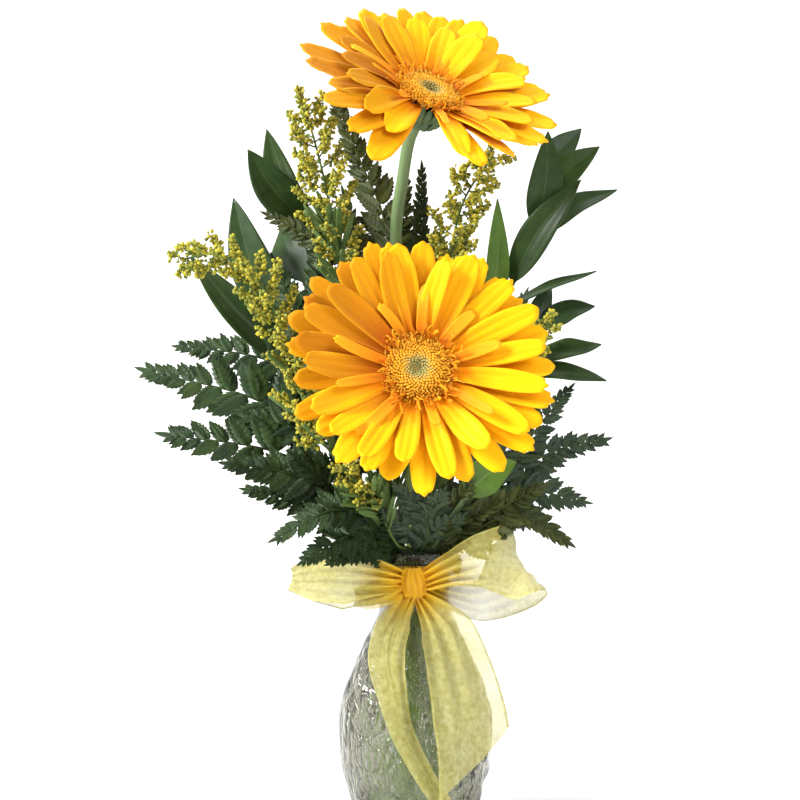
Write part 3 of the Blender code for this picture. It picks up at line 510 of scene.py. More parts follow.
# ---------------------------------------------------------------- vase, water and ribbon
def vase_radius(height):
    """The outside radius of the glass, by a smooth curve through the model's stations."""
    under = [(height * NECK_HEIGHT, BASE_RADIUS + share * (BELLY_RADIUS - BASE_RADIUS))
             for height, share in ((0.10, 0.52), (0.24, 0.87))]
    over = [(height * NECK_HEIGHT, NECK_RADIUS + share * (BELLY_RADIUS - NECK_RADIUS))
            for height, share in ((0.52, 0.94), (0.64, 0.70), (0.76, 0.37), (0.88, 0.10))]
    stations = [
        (0.0, BASE_RADIUS + FOOT_ROUNDING),
        *under,
        (0.39 * NECK_HEIGHT, BELLY_RADIUS),
        *over,
        (NECK_HEIGHT, NECK_RADIUS),
        (NECK_HEIGHT + 0.6 * RIM_TO_NECK, NECK_RADIUS + 0.35 * (RIM_RADIUS - NECK_RADIUS)),
        (VASE_HEIGHT, RIM_RADIUS),
    ]
    curve = smooth_path([(r, 0, z) for z, r in stations], 240)
    return np.interp(height, curve[:, 2], curve[:, 0])


def floor_bowl(shares):
    """The curve of the glass floor inside, from shares of its radius."""
    radius = vase_radius(GLASS_BASE) - GLASS_WALL
    return [(radius * s, GLASS_BASE + FLOOR_CURVE * s**6) for s in shares]


def make_vase():
    """Clear glass: the outside from the axis upwards, over the lip and back down the inside."""
    low = np.linspace(0.8 * MM, VASE_HEIGHT - 1.4 * MM, 150)
    lip = np.linspace(0, math.pi, 9)
    wall = GLASS_WALL / 2
    outer = [(BASE_RADIUS * s, 1.4 * MM * (1 - s) ** 0.5 * (s < 0.9)) for s in (0.02, 0.3, 0.6, 0.8, 0.93)]
    outer += [(BASE_RADIUS, 0.0), (BASE_RADIUS + 0.8 * MM, 0.2 * MM)]
    outer += [(vase_radius(z), z) for z in low]
    lip_middle = VASE_HEIGHT - wall
    over_lip = [(RIM_RADIUS - wall + wall * math.cos(a), lip_middle + wall * math.sin(a))
                for a in lip[1:-1]]
    inside = [z for z in low[::-2] if z > GLASS_BASE + 2.5 * MM]
    inner = [(vase_radius(z) - GLASS_WALL, z) for z in inside]
    bowl = floor_bowl((0.97, 0.9, 0.75, 0.5, 0.25, 0.02))
    last_outer = len(outer)
    spots = np.array([(between(0, 2 * math.pi), between(6, 92) * MM, between(4.0, 6.5) * MM,
                       between(0.7, 1.3)) for _ in range(DIMPLES)])

    def dimples(rings):
        """Shallow thumb marks pressed into the outside of the glass."""
        radius = np.hypot(rings[..., 0], rings[..., 1])
        angle = np.arctan2(rings[..., 1], rings[..., 0])
        depth = np.zeros_like(radius)
        for about, height, size, press in spots:
            turn = (angle - about + math.pi) % (2 * math.pi) - math.pi
            away = np.hypot(turn * radius, rings[..., 2] - height) / size
            depth += press * np.exp(-2.2 * away**2) - 0.35 * press * np.exp(-3.5 * (away - 1.25) ** 2)
        depth[last_outer:] = 0
        depth *= np.clip((rings[..., 2] - 2.5 * MM) / (8 * MM), 0, 1)
        keep = 1 - np.clip(depth, -0.9, 1.5) * DIMPLE_DEPTH / np.maximum(radius, 1e-6)
        return rings * np.stack([keep, keep, np.ones_like(keep)], axis=-1)

    skin = Skin()
    skin.stack(dimples(rings_about(outer + over_lip + inner + bowl, 160)), 0.0)
    return skin.build("vase_glass", GLASS, ["vase"])


def make_water():
    overlap = 0.05 * MM  # into the glass, so that no film of air shows between them
    bowl = [(radius, height - overlap) for radius, height in floor_bowl((0.02, 0.25, 0.5, 0.75, 0.9))]
    heights = np.linspace(GLASS_BASE + 2.6 * MM, WATER_LEVEL, 60)
    wall = [(vase_radius(z) - GLASS_WALL + overlap, z) for z in heights]
    rim = wall[-1][0]
    top = [(rim * s, WATER_LEVEL + 0.5 * MM * s**12) for s in (0.985, 0.9, 0.6, 0.3, 0.02)]
    skin = Skin()
    skin.stack(rings_about(bowl + wall + top, 96), 0.0)
    return skin.build("vase_water", WATER, ["water"])


def from_knot(x, y, z):
    return np.array([KNOT.x + x * MM, KNOT.y + y * MM, KNOT.z + z * MM])


def pleated(points, leans, widths, rows, columns, gathers, phase=0.0, pleats=4.5, cut=0.0):
    """A strip of ribbon on a smooth route, drawn into pleats at the ends that the knot holds.

    gathers gives the pleats' depth in mm along the route; cut is the share of its length by which one
    edge ends before the other, as on a slanted end.
    """
    path = smooth_path(points, rows)
    s = np.linspace(0, 1, rows)
    stations = np.linspace(0, 1, len(points))
    lean = unit(np.stack([np.interp(s, stations, np.array(leans, float)[:, k]) for k in range(3)], axis=1))
    along = unit(np.gradient(path, axis=0))
    lean = unit(lean - along * (lean * along).sum(axis=1, keepdims=True))
    normal = np.cross(lean, along)
    u = np.linspace(-1, 1, columns)[None]
    at = s[:, None] * (1 - cut * (u + 1) / 2)

    def there(values):
        return np.stack([np.interp(at, s, values[:, k]) for k in range(3)], axis=-1)

    width = np.interp(at, stations, widths)
    depth = np.interp(at, stations, gathers) * MM
    pleat = np.cos(u * math.pi * pleats + phase + 0.8 * np.sin(3 * u + phase)) * depth
    drift = 0.6 * np.sin(at * 7 + u * 2.2 + phase) * MM
    across = there(lean) * (u * width / 2)[..., None]
    return there(path) + across + there(normal) * (pleat + drift)[..., None]


def ribbon_tone(skin, reach):
    """The cloth is deeper in colour where it is gathered at the knot."""
    points = np.concatenate(skin.points)
    away = np.linalg.norm(points - np.array(KNOT), axis=1)
    skin.tones = [np.clip(1 - (away - 5 * MM) / reach, 0, 1) ** 2.2]


def make_band():
    skin = Skin()
    rows, columns = 120, 22
    turn = np.linspace(0, 2 * math.pi, rows)
    u = np.linspace(-1, 1, columns)
    low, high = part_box("ribbon_neck_band")
    height = (low.z + high.z) / 2 + u * (high.z - low.z) / 2
    folds = 0.55 * np.cos(u * math.pi * 3.5)[None] + 0.25 * np.sin(turn * 5)[:, None] * np.cos(u * 4)[None]
    radius = vase_radius(height)[None] + (1.0 + 0.6 * folds) * MM
    surface = np.stack([radius * np.cos(turn)[:, None], radius * np.sin(turn)[:, None],
                        height[None] + 0.5 * MM * np.sin(turn * 3)[:, None]], axis=-1)
    skin.sheet(surface, 0.35)
    made = skin.build("neck_band_organza", ORGANZA, ["ribbon_neck_band"])


def make_knot():
    """The wrap round the middle of the bow, gathered into upright pleats."""
    skin = Skin()
    rows, columns = 44, 132
    turn = np.linspace(0, 2 * math.pi, columns)
    rise = np.linspace(-0.94, 0.94, rows)
    girth = np.sqrt(1 - rise**2) ** 0.75
    up = rise[:, None]
    ridge = (0.075 * np.cos(13 * turn[None] + 3.0 * up) + 0.05 * np.cos(7 * turn[None] - 2 * up + 1)
             + 0.03 * np.cos(23 * turn[None] + 5 * up))
    radius = girth[:, None] * (1 + ridge * (0.4 + girth[:, None]))
    surface = np.stack([KNOT.x + KNOT_SIZE.x / 2 * radius * np.cos(turn)[None],
                        KNOT.y + KNOT_SIZE.y / 2 * radius * np.sin(turn)[None],
                        KNOT.z + KNOT_SIZE.z / 2 * (up * (1 + 0.04 * np.cos(9 * turn)[None]))], axis=-1)
    skin.sheet(surface, 1.0)
    made = skin.build("knot_organza", ORGANZA, ["ribbon_knot"])


def bow_piece(node, surfaces, reach):
    """One piece of the bow from its layers, deep in colour over a reach from the knot."""
    skin = Skin()
    for surface in surfaces:
        skin.sheet(surface, 0.0)
    ribbon_tone(skin, reach)
    made = skin.build(node + "_organza", ORGANZA, [node])


def make_loops():
    edge = KNOT_SIZE.x / 2 / MM - 1.2
    upright, leaning = (0, 0.15, 1), (-0.05, 0.45, 1)
    left = pleated(
        [from_knot(-edge, -1.2, 1), from_knot(-14, -5, 3), from_knot(-28, -8, 4.5), from_knot(-42, -6, 3.5),
         from_knot(-53, 0, 1.5), from_knot(-43, 5, 0.5), from_knot(-28, 7, -1), from_knot(-14, 4, -2.5),
         from_knot(-edge, 1.8, -1)],
        [upright, leaning, leaning, leaning, (0.1, 0.1, 1), leaning, leaning, leaning, upright],
        np.array([9, 17, 25, 21, 9, 20, 25, 17, 9]) * MM,
        110, 52, [1.8, 1.8, 1.1, 0.7, 0.3, 0.6, 1.0, 1.7, 1.8], phase=0.6, pleats=4.2,
    )
    lobe = pleated(
        [from_knot(-edge, -1.5, -1), from_knot(-12, -7, -3), from_knot(-20, -10.5, -4.5),
         from_knot(-25, -10, -4), from_knot(-20, -6.5, -4.2), from_knot(-11, -3, -3)],
        [upright, leaning, leaning, (0.1, 0.1, 1), leaning, upright],
        np.array([7, 11, 11, 7, 10, 7]) * MM, 60, 26, [1.2, 0.8, 0.4, 0.2, 0.3, 0.8], phase=1.4, pleats=2.2,
    )
    bow_piece("bow_loop_left", [left, lobe], LOOP_GATHERED_OVER)
    rising, diagonal, falling = (-0.15, 0.3, 1), (-0.55, 0.15, 0.83), (-0.2, 0.35, 1)
    right = pleated(
        [from_knot(edge, -1.2, 1), from_knot(17, -5, 7), from_knot(31, -7, 11), from_knot(46, -2, 9),
         from_knot(43, 5, 0), from_knot(31, 7, -9), from_knot(17, 4, -7), from_knot(edge, 1.8, -1.5)],
        [upright, rising, rising, diagonal, diagonal, falling, falling, upright],
        np.array([9, 15, 25, 35, 30, 19, 13, 8]) * MM,
        110, 52, [1.8, 1.7, 0.9, 0.4, 0.3, 0.7, 1.5, 1.8], phase=2.1, pleats=4.2,
    )
    bow_piece("bow_loop_right", [right], LOOP_GATHERED_OVER)


def make_tails():
    """The left tail is folded in three lengthwise, the right one hangs wide and is cut slanted."""
    flat, turned_back = (1, 0, 0), (1, 0.35, 0)
    stand_off = (-BELLY_RADIUS - 1.6 * MM) / MM

    def on_belly(x, drop, out=0.0):
        return np.array([x * MM, (stand_off - out) * MM, NECK_HEIGHT - drop * MM])

    below = KNOT_SIZE.z / MM * 0.42
    left_route = [from_knot(-2.9, -1, -below), over_neck((-8.5, -27.5, -12)), over_neck((-12.0, -31, -26)),
                  on_belly(-9.6, 42), on_belly(-5.8, 58), on_belly(2, 74), on_belly(9.4, 86),
                  on_belly(14, 93)]
    left_leans = [flat, flat, flat, (1, 0, -0.1), (1, 0, 0.2), (1, 0, 0.4), (1, 0, 0.5), (1, 0, 0.5)]
    widths = np.array([6, 15, 16, 13, 10, 8.5, 8, 7]) * MM
    depths = np.array([1.3, 0.9, 0.35, 0.15, 0.12, 0.12, 0.12, 0.12])
    layers = [
        pleated(left_route, left_leans, widths * scale, 90, 16, depths, phase=turn, pleats=1.6)
        + np.array([shift, out, 0]) * MM
        for scale, turn, shift, out in (
            (1.0, 0.4, -0.4, -0.5), (0.45, 1.9, 3.0, -1.1), (0.85, 3.3, 0.8, 0.3))
    ]
    bow_piece("ribbon_tail_left", layers,
              TAIL_GATHERED_OVER)
    right_route = [from_knot(2.9, -1, -below), over_neck((13.0, -29.5, -16)), over_neck((19.4, -34.5, -34)),
                   on_belly(23.2, 51, 1), on_belly(25.4, 68), on_belly(25.0, 88)]
    right_tail = pleated(
        right_route, [flat, turned_back, turned_back, turned_back, turned_back, turned_back],
        np.array([6, 25, 30, 34, 34, 32]) * MM, 110, 44, [1.7, 1.2, 0.5, 0.3, 0.25, 0.25], phase=1.2,
        pleats=3.0, cut=0.30,
    )
    bow_piece("ribbon_tail_right", [right_tail],
              TAIL_GATHERED_OVER)


# ---------------------------------------------------------------- gerberas
class Head:
    """A flower head: its middle, the way it faces, and its own axes."""

    def __init__(self, centre, normal):
        self.centre = np.asarray(centre, float)
        self.normal = unit(normal)
        self.x = unit(np.cross((0, 0, 1), self.normal))
        self.y = np.cross(self.normal, self.x)

    def out(self, local):
        """Points in the head's own axes to the row frame."""
        return self.centre + local @ np.stack([self.x, self.y, self.normal])

    def turn(self, vectors):
        return vectors @ np.stack([self.x, self.y, self.normal])


def petal(length, width, lift, curl, twist=0.0, bow=0.0, waist=0.42, rib=0.22, cup=0.10, rows=20,
          columns=13, tooth=0.5, wave=0.3):
    """A strap petal with long grooves and a rounded, toothed tip: x across, y outwards, z up."""
    s = np.linspace(0, 1, rows)
    u = np.linspace(-1, 1, columns)[None]
    fine = np.linspace(0, 1, 120)
    slope = np.radians(lift + curl * fine**1.6)
    step = length / (len(fine) - 1)
    y = np.concatenate([[0], np.cumsum(np.cos(slope[:-1]) * step)])
    z = np.concatenate([[0], np.cumsum(np.sin(slope[:-1]) * step)])
    spread = waist + (1 - waist) * np.sin(np.minimum(1, s / 0.68) * math.pi / 2)
    taper = 1 - 0.20 * np.clip((s - 0.66) / 0.34, 0, 1) ** 2
    half = (width / 2 * spread * taper)[:, None]
    late = np.clip((s - 0.5) / 0.5, 0, 1)[:, None]
    rounding = (1 - np.sqrt(1 - (0.97 * u) ** 2)) * width * 0.60 * late**1.6
    teeth = tooth * MM * (1 - np.cos(u * math.pi * 2.4)) * late**6
    at = np.clip(s[:, None] - (rounding + teeth) / length, 0, 1)
    along_y, along_z, angle = (np.interp(at, fine, values) for values in (y, z, slope))
    swell = np.sin(math.pi * np.clip(s, 0, 1))[:, None] ** 0.5
    raised = rib * MM * (np.abs(np.cos(u * math.pi * 1.5 + 0.25 * np.sin(twist))) ** 0.7 - 0.6) * swell
    raised = raised + cup * half * u**2 * (1 - 0.9 * s[:, None]) * 2
    raised = raised + wave * MM * np.sin(6.0 * s[:, None] + 3 * twist) * u * swell
    turn = np.radians(twist) * s[:, None] ** 1.3
    x = half * u * np.cos(turn)
    raised = raised + half * u * np.sin(turn)
    x = x + bow * s[:, None] ** 2
    return np.stack([x, along_y - raised * np.sin(angle), along_z + raised * np.cos(angle)], axis=-1)


def on_head(surface, angle, root, level):
    """Stands a petal at an angle round the head, with its root at a radius and height."""
    a = math.radians(angle)
    x, y, z = surface[..., 0], surface[..., 1] + root, surface[..., 2] + level
    return np.stack([x * math.sin(a) + y * math.cos(a), -x * math.cos(a) + y * math.sin(a), z], axis=-1)


def petal_shade_and_tone(angle):
    """Petals on one side of a head are painted a deeper orange as painted shade, and differ one by one at
    random.
    """
    deeper = max(0.0, math.cos(math.radians(angle - SHADED_SIDE))) ** 1.5
    return float(np.clip(0.85 * deeper + between(-0.10, 0.20), 0, 1))


def whorl(head, name, node, petals, root, level, width):
    """petals is a list of (angle, reach in mm, lift, curl)."""
    skin = Skin()
    for angle, reach, lift, curl in petals:
        surface = petal(reach * MM - root, width * between(0.86, 1.12), lift + between(-2.5, 2.5),
                        curl + between(-4, 4), twist=rng.normal(0, 9),
                        bow=rng.normal(0, 1.6) * MM, tooth=between(0.15, 0.8),
                        rib=between(0.34, 0.60), cup=between(0.0, 0.28), wave=between(0.2, 0.9))
        placed = on_head(surface, angle, root, level + between(-0.5, 0.5) * MM)
        # the tone paints shade on the petals of one side of the head, with a random part
        skin.slab(head.out(placed), PETAL_THICKNESS, petal_shade_and_tone(angle))
    skin.build(name, PETALS, [node])


SHORT_PETALS = 9
FRINGE_FLORETS = 75


def inner_whorl(head, name, node, first):
    """A few short narrow petals from an angle on, and round the disc a fringe of thin curled florets."""
    skin = Skin()
    for k in range(SHORT_PETALS):
        angle = first + 360 * k / SHORT_PETALS + between(-12, 12)
        reach = between(24, 38) * MM
        surface = petal(reach - 9 * MM, between(3.4, 5.4) * MM, between(14, 28),
                        between(-30, 4), twist=rng.normal(0, 16), bow=rng.normal(0, 1.6) * MM, rows=16,
                        columns=9, waist=0.6, rib=0.2)
        skin.slab(head.out(on_head(surface, angle, 10 * MM, 1.0 * MM)), 0.4 * MM, between(0, 0.4))
    for _ in range(FRINGE_FLORETS):
        angle = between(0, 360)
        surface = petal(between(3.5, 8.5) * MM, between(0.7, 1.3) * MM, between(30, 75),
                        between(-120, 60), twist=rng.normal(0, 60), bow=rng.normal(0, 1.8) * MM,
                        rows=10, columns=5, rib=0.05, waist=0.8)
        placed = on_head(surface, angle, between(10.5, 14.5) * MM, between(0.8, 2.4) * MM)
        skin.slab(head.out(placed), 0.28 * MM, between(0.1, 1))
    skin.build(name, CURLED, [node])


DISC_BUD = [(0.0, 0.6), (0.35, 1.0), (0.75, 0.8), (1.0, 0.25)]
OUTER_BUD = [(0.0, 0.7), (0.5, 0.6), (0.85, 0.9), (1.0, 0.5)]
DISC_FLORETS = 420
OUTER_FLORETS = 260


def make_disc(head, name, node):
    """Buds on the spiral of a daisy's eye: small and olive in the middle, taller and yellow outside."""
    count = DISC_FLORETS
    k = np.arange(count)
    radius = DISC_RADIUS * 0.93 * np.sqrt((k + 0.5) / count)
    angle = k * math.pi * (3 - math.sqrt(5))
    share = radius / DISC_RADIUS
    hollow = 1.2 * (share < 0.3) * (0.3 - share) / 0.3
    dome = (1.8 + 2.4 * np.sin(np.clip(share * 1.15, 0, 1) * math.pi) - hollow) * MM
    centres = np.stack([radius * np.cos(angle), radius * np.sin(angle), dome], axis=-1)
    tilt = np.clip(share - 0.45, 0, 1) * 1.5
    directions = np.stack([np.cos(angle) * tilt, np.sin(angle) * tilt, np.ones(count)], axis=-1)
    directions = directions + rng.normal(0, 0.16, (count, 3))
    lengths = (0.7 + 2.2 * np.clip(share - 0.35, 0, 1)) * MM * between(0.8, 1.25, count)
    tones = np.clip((share - 0.24) * 4.0 + rng.normal(0, 0.16, count), 0, 1)
    skin = Skin()
    radii = 0.66 * MM * between(0.85, 1.1, count)
    skin.buds(head.out(centres), head.turn(directions), lengths, radii, tones, DISC_BUD)
    bed = [(0.3, 0.2), (9.2, 0.2), (10.6, 0.9), (9.8, 2.6), (7.2, 3.4), (4.0, 2.9), (0.3, 1.6)]
    skin.stack(head.out(rings_about(np.array(bed) * MM, 24)), 0.45)
    outer = OUTER_FLORETS
    spread = between(0, 2 * math.pi, outer)
    reach = between(8.5, 14.5, outer) * MM
    level = 3.4 * MM - (reach - 8.5 * MM) * 0.35
    foot = np.stack([reach * np.cos(spread), reach * np.sin(spread), level], axis=-1)
    lean = np.stack([np.cos(spread) * 0.5, np.sin(spread) * 0.5, np.ones(outer)], axis=-1)
    lean = lean + rng.normal(0, 0.3, (outer, 3))
    skin.buds(head.out(foot), head.turn(lean), between(1.8, 3.4, outer) * MM, 0.34 * MM,
              between(0.75, 1, outer), OUTER_BUD, sides=4)
    skin.build(name, DISC_BUDS, [node])


# how many bracts, then in millimetres their height, radius and length, and how steeply they rise
BRACT_ROWS = ((14, -13.2, 5.6, 8.0, 52), (18, -10.4, 8.6, 8.5, 62), (22, -6.8, 10.4, 8.0, 70))


def make_calyx(head, name, node):
    """A cup of overlapping pointed bracts in three rows."""
    skin = Skin()
    cup = [(0.3, -14.5), (3.1, -14.4), (5.0, -13.4), (7.6, -11.0), (9.6, -7.5), (10.8, -4.0), (10.9, -2.8),
           (0.3, -2.8)]
    skin.stack(head.out(rings_about(np.array(cup) * MM, 24)), 0.0)
    for row, (count, height, radius, length, lift) in enumerate(BRACT_ROWS):
        for k in range(count):
            angle = 360 * (k + 0.5 * row) / count + between(-4, 4)
            surface = petal(length * MM * between(0.85, 1.1), 2.9 * MM, lift + between(-6, 6), 18,
                            rows=10, columns=7, waist=0.75, rib=0.08, tooth=0.0, cup=-0.3)
            placed = on_head(surface, angle, radius * MM, height * MM)
            skin.slab(head.out(placed), PETAL_THICKNESS, between(0, 0.8))
    skin.build(name, CALYX, [node])


def make_stem(node, route, radius, finish, sides):
    """A stem that swells a little here and there and below what it carries."""
    path = smooth_path(route, 90)
    run = np.linspace(0, 1, len(path))
    swell = 1 + 0.05 * np.sin(run * 23) + 0.12 * np.clip((run - 0.93) / 0.07, 0, 1)
    skin = Skin()
    skin.tube(path, radius * swell, 0.4, sides=sides)
    skin.build(node + "_green", finish, [node])
    return path


# Each petal's angle round the head, reach in millimetres, lift and curl in degrees
FRONT_BACK = [(111, 57.5, 4, 3), (101, 55, 6, 0), (89, 54.5, 5, 3), (76, 51, 2, 0), (67, 53, 4, -5),
              (57, 55, 3, 0), (46, 53.5, 5, -6), (37, 53, 2, -5), (25, 55, 5, -3), (14, 55.5, 3, 0),
              (3, 56, 4, -3), (348, 57, 4, 4), (336, 55, 5, 0), (320, 58, 4, 6), (308, 55, 6, 0),
              (292, 52, 8, 10), (273, 54, 6, 5), (258, 49, 5, 12), (245, 51, 8, 22), (229, 53, 6, 10),
              (214, 50, 5, 18), (199, 54, 4, 12), (184, 51, 5, 8), (168, 55, 4, 3), (158, 57.5, 3, 0),
              (149, 55.5, 6, 4), (138, 58.5, 4, 2), (125, 56, 3, 0)]
FRONT_FRONT = [(97, 53, 11, -2), (80, 47, 15, -6), (62, 53, 11, -4), (45, 54, 10, -4), (28, 55, 9, -4),
               (9, 53, 10, -2), (351, 54, 9, -3), (329, 53, 10, 4), (305, 47, 13, 10), (284, 50, 11, 12),
               (262, 44, 14, 22), (241, 49, 12, 26), (220, 48, 11, 22), (203, 49, 10, 14),
               (182, 48, 12, 6), (166, 52, 11, 0), (151, 53, 12, -2), (136, 50, 13, -4),
               (122, 53, 11, -2), (109, 50, 13, -2)]
UPPER_BACK = [(125, 56, 6, 0), (141, 57.5, 3, 0), (158, 54, 4, 4), (172, 47, 5, -4), (186, 54, 2, -10),
              (202, 49, 0, -18), (214, 50, -6, -22), (266, 49, 4, -12), (290, 48, 6, -8),
              (306, 51, 8, -6), (320, 54, 10, -6), (333, 57, 12, -4), (346, 57, 14, -5),
              (358, 58, 14, -3), (10, 57, 16, -4), (21, 57, 15, -4), (30, 57, 20, -3), (40, 57, 23, 0),
              (50, 56.5, 19, 0), (58, 57, 17, 0), (67, 57, 15, 0), (76, 57, 14, 0), (85, 57, 11, 0),
              (94, 57, 9, 0), (104, 56.5, 6, 0), (114, 56, 5, 0)]
UPPER_FRONT = [(152, 41, 14, -10), (171, 42, 14, -12), (192, 40, 10, -25), (212, 37, 6, -40),
               (262, 43, 12, -20), (284, 42, 12, -10), (303, 44, 16, -10), (322, 46, 18, -8),
               (342, 48, 20, -8), (2, 48, 22, -8), (20, 47, 24, -6), (38, 47, 26, -4), (56, 46, 25, -4),
               (74, 47, 22, -2), (92, 46, 19, -4), (110, 47, 16, -4), (130, 45, 15, -6)]


def make_gerbera(prefix, head, slot, points, back, front, first, broad):
    reach = [head.centre - head.normal * (HEAD_DEPTH + d * MM) for d in (8, -1)]
    route = stem_route(slot, np.vstack([over_neck(points), reach]))
    make_stem(prefix + "_stem", route, GERBERA_STEM_RADIUS, GERBERA_STEM, sides=16)
    make_calyx(head, prefix + "_calyx_bracts", prefix + "_calyx")
    whorl(head, prefix + "_ray_petals_back", prefix + "_petals_back", back, 10.5 * MM, -2.0 * MM, broad)
    whorl(head, prefix + "_ray_petals_front", prefix + "_petals_front", front, 10.0 * MM, -0.4 * MM,
          0.92 * broad)
    inner_whorl(head, prefix + "_ray_petals_short", prefix + "_petals_short", first)
    make_disc(head, prefix + "_disc_florets", prefix + "_disc")


def make_gerberas():
    make_gerbera(
        "front_gerbera", Head(over_neck((0.7, -60, 99)), (0.02, -0.94, 0.33)), slot=(0.39, -79),
        points=[(0.8, -7.5, 32), (0.6, -12, 55), (0.5, -20, 75), (0.4, -31, 86)],
        back=FRONT_BACK, front=FRONT_FRONT, first=5, broad=11.4 * MM,
    )
    make_gerbera(
        "upper_gerbera", Head(over_neck((5.1, -30, 211)), (0.35, -0.50, 0.79)), slot=(0.205, 117),
        points=[(-3, 1, 60), (-7, -3, 115), (-8.3, -8, 155), (-5.2, -14, 179)],
        back=UPPER_BACK, front=UPPER_FRONT, first=12, broad=12.8 * MM,
    )


# ---------------------------------------------------------------- ferns
FERNS = {
    "fern_left": dict(
        slot=(0.80, 195), route=[(-18, -10, 22), (-28, -18, 40), (-36, -20, 61), (-41, -14, 82),
                                 (-47, -7, 100), (-56, -2, 120)],
        faces=(0.15, -1, 0.25), leaflets=0.86, size=14, finish=FERN_LEAVES,
        fronds=[(0.675, (-104, -33, 69), 20), (0.755, (-114, -20, 95), 20),
                (0.865, (-102, -7, 105), 14), (0.715, (-12, -16, 72), 14), (0.64, (-78, -42, 58), 16),
                (0.80, (-70, -2, 92), 15), (0.70, (-62, -30, 50), 14), (0.74, (-72, -22, 76), 15),
                (0.68, (-24, -22, 60), 12), (0.78, (-22, -10, 100), 13), (0.84, (-34, -4, 118), 12),
                (0.86, (-62, 4, 142), 14), (0.80, (-44, 3, 150), 14), (0.72, (-54, 0, 104), 14)],
    ),
    "fern_front_left": dict(
        slot=(0.80, 226), route=[(-14, -16, 20), (-22, -26, 33), (-31, -36, 38), (-42, -43, 36),
                                 (-58, -44, 27)],
        faces=(0.1, -0.8, 0.5), leaflets=0.74, size=14, finish=FERN_LEAVES,
        fronds=[(0.715, (-47, -49, 18), 12), (0.69, (-70, -37, 46), 15), (0.62, (-36, -44, 16), 10),
                (0.66, (-34, -40, 54), 12), (0.60, (-52, -30, 60), 14), (0.58, (-16, -32, 38), 10),
                (0.55, (-26, -34, 28), 11), (0.57, (-40, -26, 44), 13)],
    ),
    "fern_left_high": dict(
        slot=(0.80, 145), route=[(-16, 6, 50), (-27, 4, 100), (-35, 1, 135), (-43, 0, 150), (-64, 1, 162)],
        faces=(0, -1, 0.3), leaflets=0.80, size=13, finish=OLD_FERN_LEAVES,
    ),
    "fern_back_left": dict(
        slot=(0.80, 120), route=[(-8, 14, 60), (-10, 22, 110), (-13.4, 26, 158), (-23.8, 30, 185),
                                 (-35, 30, 212)],
        faces=(0, -1, 0.1), leaflets=0.60, size=21, finish=OLD_FERN_LEAVES,
        fronds=[(0.66, (22, 27, 150), 15), (0.61, (-42, 22, 128), 14), (0.72, (-4, 24, 178), 13),
                (0.60, (4, 22, 128), 14), (0.52, (-24, 24, 150), 14), (0.57, (-32, 26, 172), 13),
                (0.48, (-16, 22, 122), 14), (0.50, (8, 25, 152), 13)],
    ),
    "fern_back_centre": dict(
        slot=(0.80, 103), route=[(-1, 13, 70), (1, 14, 120), (2.3, 12, 150), (3.2, 15, 182)],
        faces=(0.5, -1, 0), leaflets=0.66, size=14, finish=FERN_LEAVES,
    ),
    "fern_back_right": dict(
        slot=(0.86, 47), route=[(16, 17, 40), (26, 26, 75), (34, 31, 105), (40, 34, 135)],
        faces=(-0.3, -1, 0), leaflets=0.55, size=19, finish=OLD_FERN_LEAVES,
        fronds=[(0.70, (18, 24, 150), 14), (0.60, (12, 22, 128), 13), (0.66, (50, 28, 126), 13)],
    ),
    "fern_right": dict(
        slot=(0.80, -14), route=[(20, -4, 22), (36, -4, 42), (52, -2, 54), (68, 0, 60.5), (82, 0, 63)],
        # this frond wears the lighter copy of the fern leaves, as painted light
        faces=(0, -1, 0.3), leaflets=0.70, size=17, finish=LIT_FERN_LEAVES,
        fronds=[(0.745, (74, -9, 37), 13), (0.77, (68, 0, 86), 12), (0.66, (50, -10, 78), 14),
                (0.62, (30, -12, 62), 13), (0.72, (56, -8, 28), 12)],
    ),
    "fern_right_low": dict(
        slot=(0.80, -35), route=[(20, -13, 20), (33, -19, 30), (46, -22, 34), (65, -22, 22)],
        faces=(0, -0.9, 0.5), leaflets=0.64, size=16, finish=OLD_FERN_LEAVES,
        fronds=[(0.64, (24, -30, 48), 12), (0.70, (54, -26, 46), 13), (0.68, (44, -24, 29), 10),
                (0.60, (14, -26, 32), 11), (0.62, (36, -26, 40), 12)],
    ),
    "fern_front_centre": dict(
        slot=(0.80, -80), route=[(3.5, -14, 18), (5.5, -20, 26), (4, -28, 38), (1.9, -32, 50)],
        # this frond wears the lighter copy of the fern leaves, as painted light
        faces=(0.1, -0.8, -0.5), leaflets=0.72, size=12, finish=LIT_FERN_LEAVES,
        fronds=[(0.78, (-15, -30, 36), 10), (0.78, (20, -30, 34), 10), (0.84, (12, -36, 46), 9),
                (0.84, (-8, -36, 48), 9)],
    ),
}


def leaflet(skin, base, heading, normal, length, width, teeth=7):
    """A leaflet with teeth that point forward, bent a little towards its tip."""
    stations = []
    for k in range(teeth):
        stations += [(k / teeth, 0.76), ((k + 0.80) / teeth, 1.0)]
    s, notch = np.array([*stations, (1.0, 0.3)]).T
    s = np.concatenate([[0.0], 0.06 + 0.94 * s])
    notch = np.concatenate([[1.0], notch])
    across = np.array([-1, -0.5, 0, 0.5, 1.0])
    half = width / 2 * np.maximum(np.sin(math.pi * np.clip(s, 0, 1) ** 0.72), 0) ** 0.75
    half = np.maximum(half * notch, 0.35 * MM * (1 - s) + 0.12 * MM)
    side = unit(np.cross(normal, heading))
    bend = rng.normal(0, 0.05)
    droop = between(-0.02, 0.14)
    fold = between(0.0, 0.16)
    roll = rng.normal(0, 0.16)
    up = unit(normal + side * roll)
    side = unit(np.cross(up, heading))
    lead = np.abs(across)[None] * (notch[:, None] - 0.8) * length * 0.30 * (1 - s[:, None] ** 3)
    y = s[:, None] * length + lead
    x = half[:, None] * across[None] + bend * length * s[:, None] ** 2
    z = fold * np.abs(half[:, None] * across[None]) - droop * length * s[:, None] ** 2
    surface = base + heading * y[..., None] + side * x[..., None] + up * z[..., None]
    skin.slab(surface, LEAFLET_THICKNESS, between(0, 1) ** 2)


